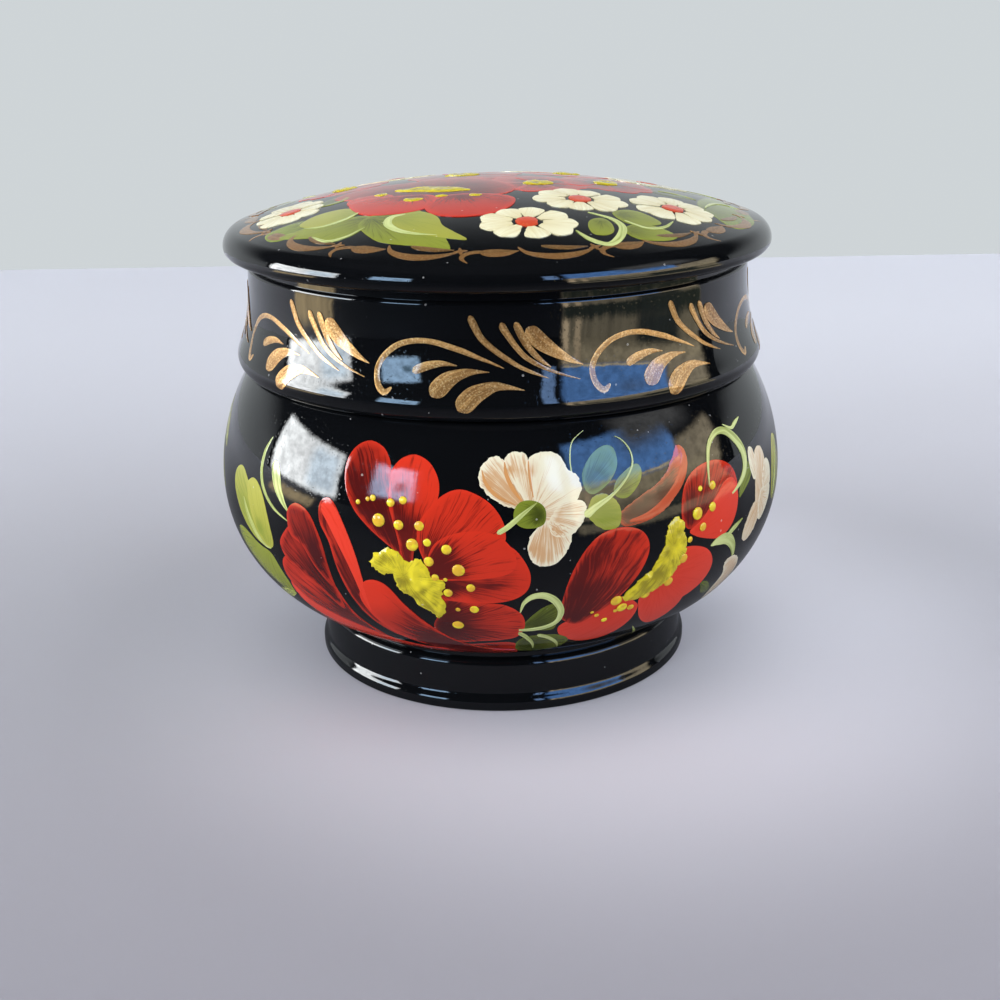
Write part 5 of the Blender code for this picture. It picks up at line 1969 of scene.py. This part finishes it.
# Ramps: two places in metres, or two slopes, then the values there
# Painted light and shade on the floor: a little darker to the left, and darker in front
ACROSS_PAINTED_LIGHT = (-0.12, 0.12, 0.96, 1.04)
AWAY_TONES = (-0.24, 0.22)
# What the gloss sees of the floor: darker in front and close to the box, a painted shade
FAR_GLOSS_SHADE = (-0.1, 0.45, 0.95, 0.03)
NEAR_GLOSS_SHADE = (0.06, 0.25, 0.3)
BACKDROP_GLOSS = (0.10, 0.36, 1.0, 0.03)
PATCHY_LIGHT = (0.3, 0.7, 0.68, 1.16)
FRAME_WIDTH = 36.0
NEAREST_SEEN = 10.0 * MM


def towards(bearing, rise):
    """The direction of a bearing and an elevation, in degrees, with the front at bearing 0."""
    bearing, rise = math.radians(bearing), math.radians(rise)
    return Vector((math.sin(bearing) * math.cos(rise), -math.cos(bearing) * math.cos(rise), math.sin(rise)))


def lamp(name, sides, heights, radiance, tint):
    """A soft lamp that fills a range of bearings and elevations. The gloss mirrors the screen instead."""
    away = towards(sum(sides) / 2, sum(heights) / 2)
    light = bpy.data.lights.new(name, "AREA")
    light.shape = "RECTANGLE"
    light.size = 2 * LAMP_DISTANCE * math.tan(math.radians(sides[1] - sides[0]) / 2)
    light.size_y = 2 * LAMP_DISTANCE * math.tan(math.radians(heights[1] - heights[0]) / 2)
    light.energy = radiance * math.pi * light.size * light.size_y
    light.color = tint
    placed = bpy.data.objects.new(name, light)
    placed.location = away * LAMP_DISTANCE + Vector((0.0, 0.0, SCREEN_CENTRE))
    placed.rotation_euler = (-away).to_track_quat("-Z", "Y").to_euler()
    placed.visible_camera = False
    placed.visible_glossy = False
    bpy.context.scene.collection.objects.link(placed)


@once("node_groups")
def area_group(name):
    """The share of a bright area with soft edges at a bearing and an elevation."""
    titles = ("Bearing", "Elevation", "From", "To", "Low", "High", "Softness")
    tree, given, result = group_of(name, dict.fromkeys(titles, 1.0), {"Share": FLOAT})
    soft = given["Softness"]
    lit = []
    for title, first, last in (("Bearing", "From", "To"), ("Elevation", "Low", "High")):
        rising = tree.ramp(given[title], given[first] - soft, given[first] + soft)
        falling = tree.ramp(given[title], given[last] - soft, given[last] + soft, 1.0, 0.0)
        lit.append(rising * falling)
    tree.link(lit[0] * lit[1], result, "Share")
    return tree.tree


@once("node_groups")
def room_group(name):
    """What the gloss mirrors at a place and an elevation: light on the left, blue over tan on the right."""
    tree, given, result = group_of(name, {"Place": VECTOR, "Elevation": 0.0},
                                   {"Light": COLOUR, "Share": FLOAT})
    right, away, up = tree.parts(given["Place"])
    bearing = tree.maths("DEGREES", tree.maths("ARCTAN2", right, away * -1.0))
    ahead = tree.vector("NORMALIZE", given["Place"])
    shake = tree.noise(ahead, 26.0, 8.0, 0.8) - 0.5
    elevation = tree.maths("MULTIPLY_ADD", shake, AREA_SHAKE, given["Elevation"])
    bearing = tree.maths("MULTIPLY_ADD", shake, -AREA_SHAKE, bearing)
    light, dark = BLACK, 1.0
    for sides, heights, soft, tint in ROOM_AREAS:
        area = {"Bearing": bearing, "Elevation": elevation, "From": sides[0], "To": sides[1],
                "Low": heights[0], "High": heights[1], "Softness": soft}
        lit = tree.group(area_group("bright_area"), area)["Share"]
        light = tree.mix(lit, light, tint)
        dark = (1.0 - lit) * dark
    patchy = tree.ramp(tree.noise(ahead, 14.0, 6.0, 0.7), *PATCHY_LIGHT)
    tree.link(tree.times(light, patchy, patchy, patchy), result, "Light")
    tree.link(1.0 - dark, result, "Share")
    return tree.tree


def bare_tree(name):
    """A new material without a shader, and its output."""
    material, tree, shader = material_tree(name)
    tree.tree.nodes.remove(shader)
    return material, tree, tree.tree.nodes["Material Output"]


def screen_material(room):
    """The mirrored room on the screen."""
    material, tree, output = bare_tree("mirrored_light")
    place = tree.place()
    rise = tree.parts(place)[2] - SCREEN_CENTRE
    elevation = tree.maths("DEGREES", tree.maths("ARCTAN2", rise, SCREEN_RADIUS))
    light = tree.group(room, {"Place": place, "Elevation": elevation})["Light"]
    glow = tree.out("ShaderNodeEmission", {"Color": light, "Strength": SCREEN_STRENGTH})
    tree.link(glow, output, "Surface")
    return material


def mirrored_screen(room):
    """A curved screen round the front, which only the gloss sees."""
    turns = [math.radians(turn) for turn in SCREEN_TURNS]
    top = SCREEN_CENTRE + SCREEN_RADIUS * math.tan(math.radians(SCREEN_RISE))
    places = [(SCREEN_RADIUS * math.sin(turn), -SCREEN_RADIUS * math.cos(turn), height)
              for turn in turns for height in (SCREEN_FOOT, top)]
    faces = [(2 * i, 2 * i + 2, 2 * i + 3, 2 * i + 1) for i in range(len(turns) - 1)]
    mesh = bpy.data.meshes.new("mirrored_screen")
    mesh.from_pydata(places, [], faces)
    piece = plain("mirrored_screen", mesh, screen_material(room))
    piece.visible_camera = False
    piece.visible_diffuse = False
    piece.visible_shadow = False


def floor_material(stage, room):
    """Plain pale floor, lighter further back and a little to the right: painted shade in front and at the
    left, and a painted pool of light round the box's front.

    The gloss sees it darker close to the box and in front, a painted shade, and there it glows with the
    mirrored room's light.
    """
    material, tree, shader = material_tree("plain_floor")
    place = tree.place()
    right, away, up = tree.parts(place)
    # Painted shade: darker in front and a little to the left
    tone = tree.mix(tree.ramp(away, *AWAY_TONES), stage.floor_near_painted_shade, stage.floor_far)
    sideways = tree.ramp(right, *ACROSS_PAINTED_LIGHT)
    tone = tree.times(tone, sideways, sideways, sideways)
    # A painted pool of light, lifting the floor's tone round the box's front
    spot = tree.out("ShaderNodeVectorMath", {0: place, 1: PAINTED_POOL_CENTRE}, "Value", operation="DISTANCE")
    lift = tree.ramp(spot, *PAINTED_POOL_LIFT)
    tone = tree.times(tone, lift, lift, lift * PAINTED_POOL_BLUE)
    # Painted shade in the gloss: the floor it mirrors is darker in front and close to the box
    distance = tree.out("ShaderNodeVectorMath", {0: place}, "Value", operation="LENGTH")
    furthest = tree.ramp(away * -1.0 / distance, *FAR_GLOSS_SHADE)
    dimmed = tree.ramp(distance, *NEAR_GLOSS_SHADE, furthest)
    glossy = tree.out("ShaderNodeLightPath", output="Is Glossy Ray")
    tone = tree.mix(1.0 - glossy + glossy * dimmed, BLACK, tone)
    # In the gloss the floor glows with the mirrored room's light where the room has bright areas
    elevation = tree.maths("ARCTAN2", SCREEN_CENTRE, distance) * math.degrees(-1.0)
    lit = tree.group(room, {"Place": place, "Elevation": elevation})
    tree.link(tree.mix(glossy * lit["Share"], tone, BLACK), shader, "Base Color")
    tree.link(tree.mix(glossy, BLACK, lit["Light"]), shader, "Emission Color")
    shader.inputs["Emission Strength"].default_value = SCREEN_STRENGTH
    shader.inputs["Roughness"].default_value = 0.9
    shader.inputs["Specular IOR Level"].default_value = 0.1
    return material


def backdrop_material(stage):
    """Plain pale backdrop that the camera sees at its own colour. In the gloss it darkens upwards."""
    material, tree, output = bare_tree("plain_backdrop")
    path = tree.outs("ShaderNodeLightPath")
    seen = tree.maths("MAXIMUM", path["Is Camera Ray"], path["Is Glossy Ray"])
    seen = tree.maths("MAXIMUM", seen, path["Is Transmission Ray"])
    strength = tree.ramp(tree.parts(tree.place())[2], *BACKDROP_GLOSS)
    tone = (*stage.backdrop, 1.0)
    matt = tree.out("ShaderNodeBsdfDiffuse", {"Color": tone})
    bright = tree.out("ShaderNodeEmission", {"Color": tone, "Strength": strength})
    tree.link(tree.out("ShaderNodeMixShader", {0: seen, 1: matt, 2: bright}), output, "Surface")
    return material


def sheet(name, first, second, material):
    """A flat stage piece from its two near or low corners and its two far or high ones."""
    mesh = bpy.data.meshes.new(name)
    corners = [(side, *end) for sides, end in (((-1, 1), first), ((1, -1), second)) for side in sides]
    mesh.from_pydata([(FLOOR_SIDE * side, away, up) for side, away, up in corners], [], [(0, 1, 2, 3)])
    plain(name, mesh, material)


def aimed_camera(stage):
    """The camera, from how far it looks down and to the right, and how far it leans."""
    camera = bpy.data.cameras.new("camera")
    camera.sensor_width = FRAME_WIDTH
    camera.lens = stage.camera_lens
    camera.clip_start = NEAREST_SEEN
    placed = bpy.data.objects.new("camera", camera)
    yaw, pitch, roll = stage.camera_yaw, stage.camera_pitch, stage.camera_roll
    forward = Vector((math.sin(yaw) * math.cos(pitch), math.cos(yaw) * math.cos(pitch), -math.sin(pitch)))
    level = Vector((math.cos(yaw), -math.sin(yaw), 0.0))
    upright = level.cross(forward)
    right = level * math.cos(roll) + upright * math.sin(roll)
    up = upright * math.cos(roll) - level * math.sin(roll)
    turn = Matrix((right, up, -forward)).transposed().to_4x4()
    placed.matrix_world = Matrix.Translation((0.0, -stage.camera_distance, stage.camera_height)) @ turn
    return placed


class TRINKET_OT_stage(bpy.types.Operator):
    """Set the camera, the floor, the backdrop and the lamps"""

    bl_idname = "trinket.stage"
    bl_label = "Stage"

    def execute(self, context):
        scene = context.scene
        stage = scene.trinket_box.stage
        room = room_group("mirrored_room")
        sheet("floor", (-FLOOR_NEAR, 0.0), (FLOOR_FAR, 0.0), floor_material(stage, room))
        sheet("backdrop", (FLOOR_FAR, 0.0), (FLOOR_FAR, BACKDROP_TOP), backdrop_material(stage))
        for row in LAMPS:
            lamp(*row)
        mirrored_screen(room)
        scene.camera = aimed_camera(stage)
        scene.collection.objects.link(scene.camera)
        world = bpy.data.worlds.new("dim_room")
        world.use_nodes = True
        world.node_tree.nodes["Background"].inputs[0].default_value = WORLD_TINT
        scene.world = world
        scene.view_settings.view_transform = "Standard"
        return {"FINISHED"}


OPERATORS = (TRINKET_OT_stage, TRINKET_OT_bowl_shell, TRINKET_OT_lid_shell, TRINKET_OT_belly_poppies,
             TRINKET_OT_belly_blossoms, TRINKET_OT_belly_leaves, TRINKET_OT_belly_stamens,
             TRINKET_OT_band_spray, TRINKET_OT_lid_border, TRINKET_OT_lid_poppies, TRINKET_OT_lid_daisies,
             TRINKET_OT_lid_leaves)
GROUPS = (BowlSizes, LidSizes, PaintColours, StageSettings, TrinketBox)


class TRINKET_PT_panel(bpy.types.Panel):
    """The box's pieces and settings"""

    bl_idname = "TRINKET_PT_panel"
    bl_label = "Trinket Box"
    bl_space_type = "VIEW_3D"
    bl_region_type = "UI"
    bl_category = "Trinket Box"

    def draw(self, context):
        for operator in OPERATORS:
            self.layout.operator(operator.bl_idname)
        settings = context.scene.trinket_box
        for group in (settings.bowl, settings.lid, settings.paint, settings.stage):
            box = self.layout.box()
            for name in group.__annotations__:
                box.prop(group, name, text=name.replace("_", " ").capitalize())


def register():
    for item in GROUPS + OPERATORS + (TRINKET_PT_panel,):
        bpy.utils.register_class(item)
    bpy.types.Scene.trinket_box = PointerProperty(type=TrinketBox)


def unregister():
    del bpy.types.Scene.trinket_box
    for item in reversed(GROUPS + OPERATORS + (TRINKET_PT_panel,)):
        bpy.utils.unregister_class(item)


def main():
    register()
    for operator in OPERATORS:
        family, name = operator.bl_idname.split(".")
        getattr(getattr(bpy.ops, family), name)()


if __name__ == "__main__":
    main()
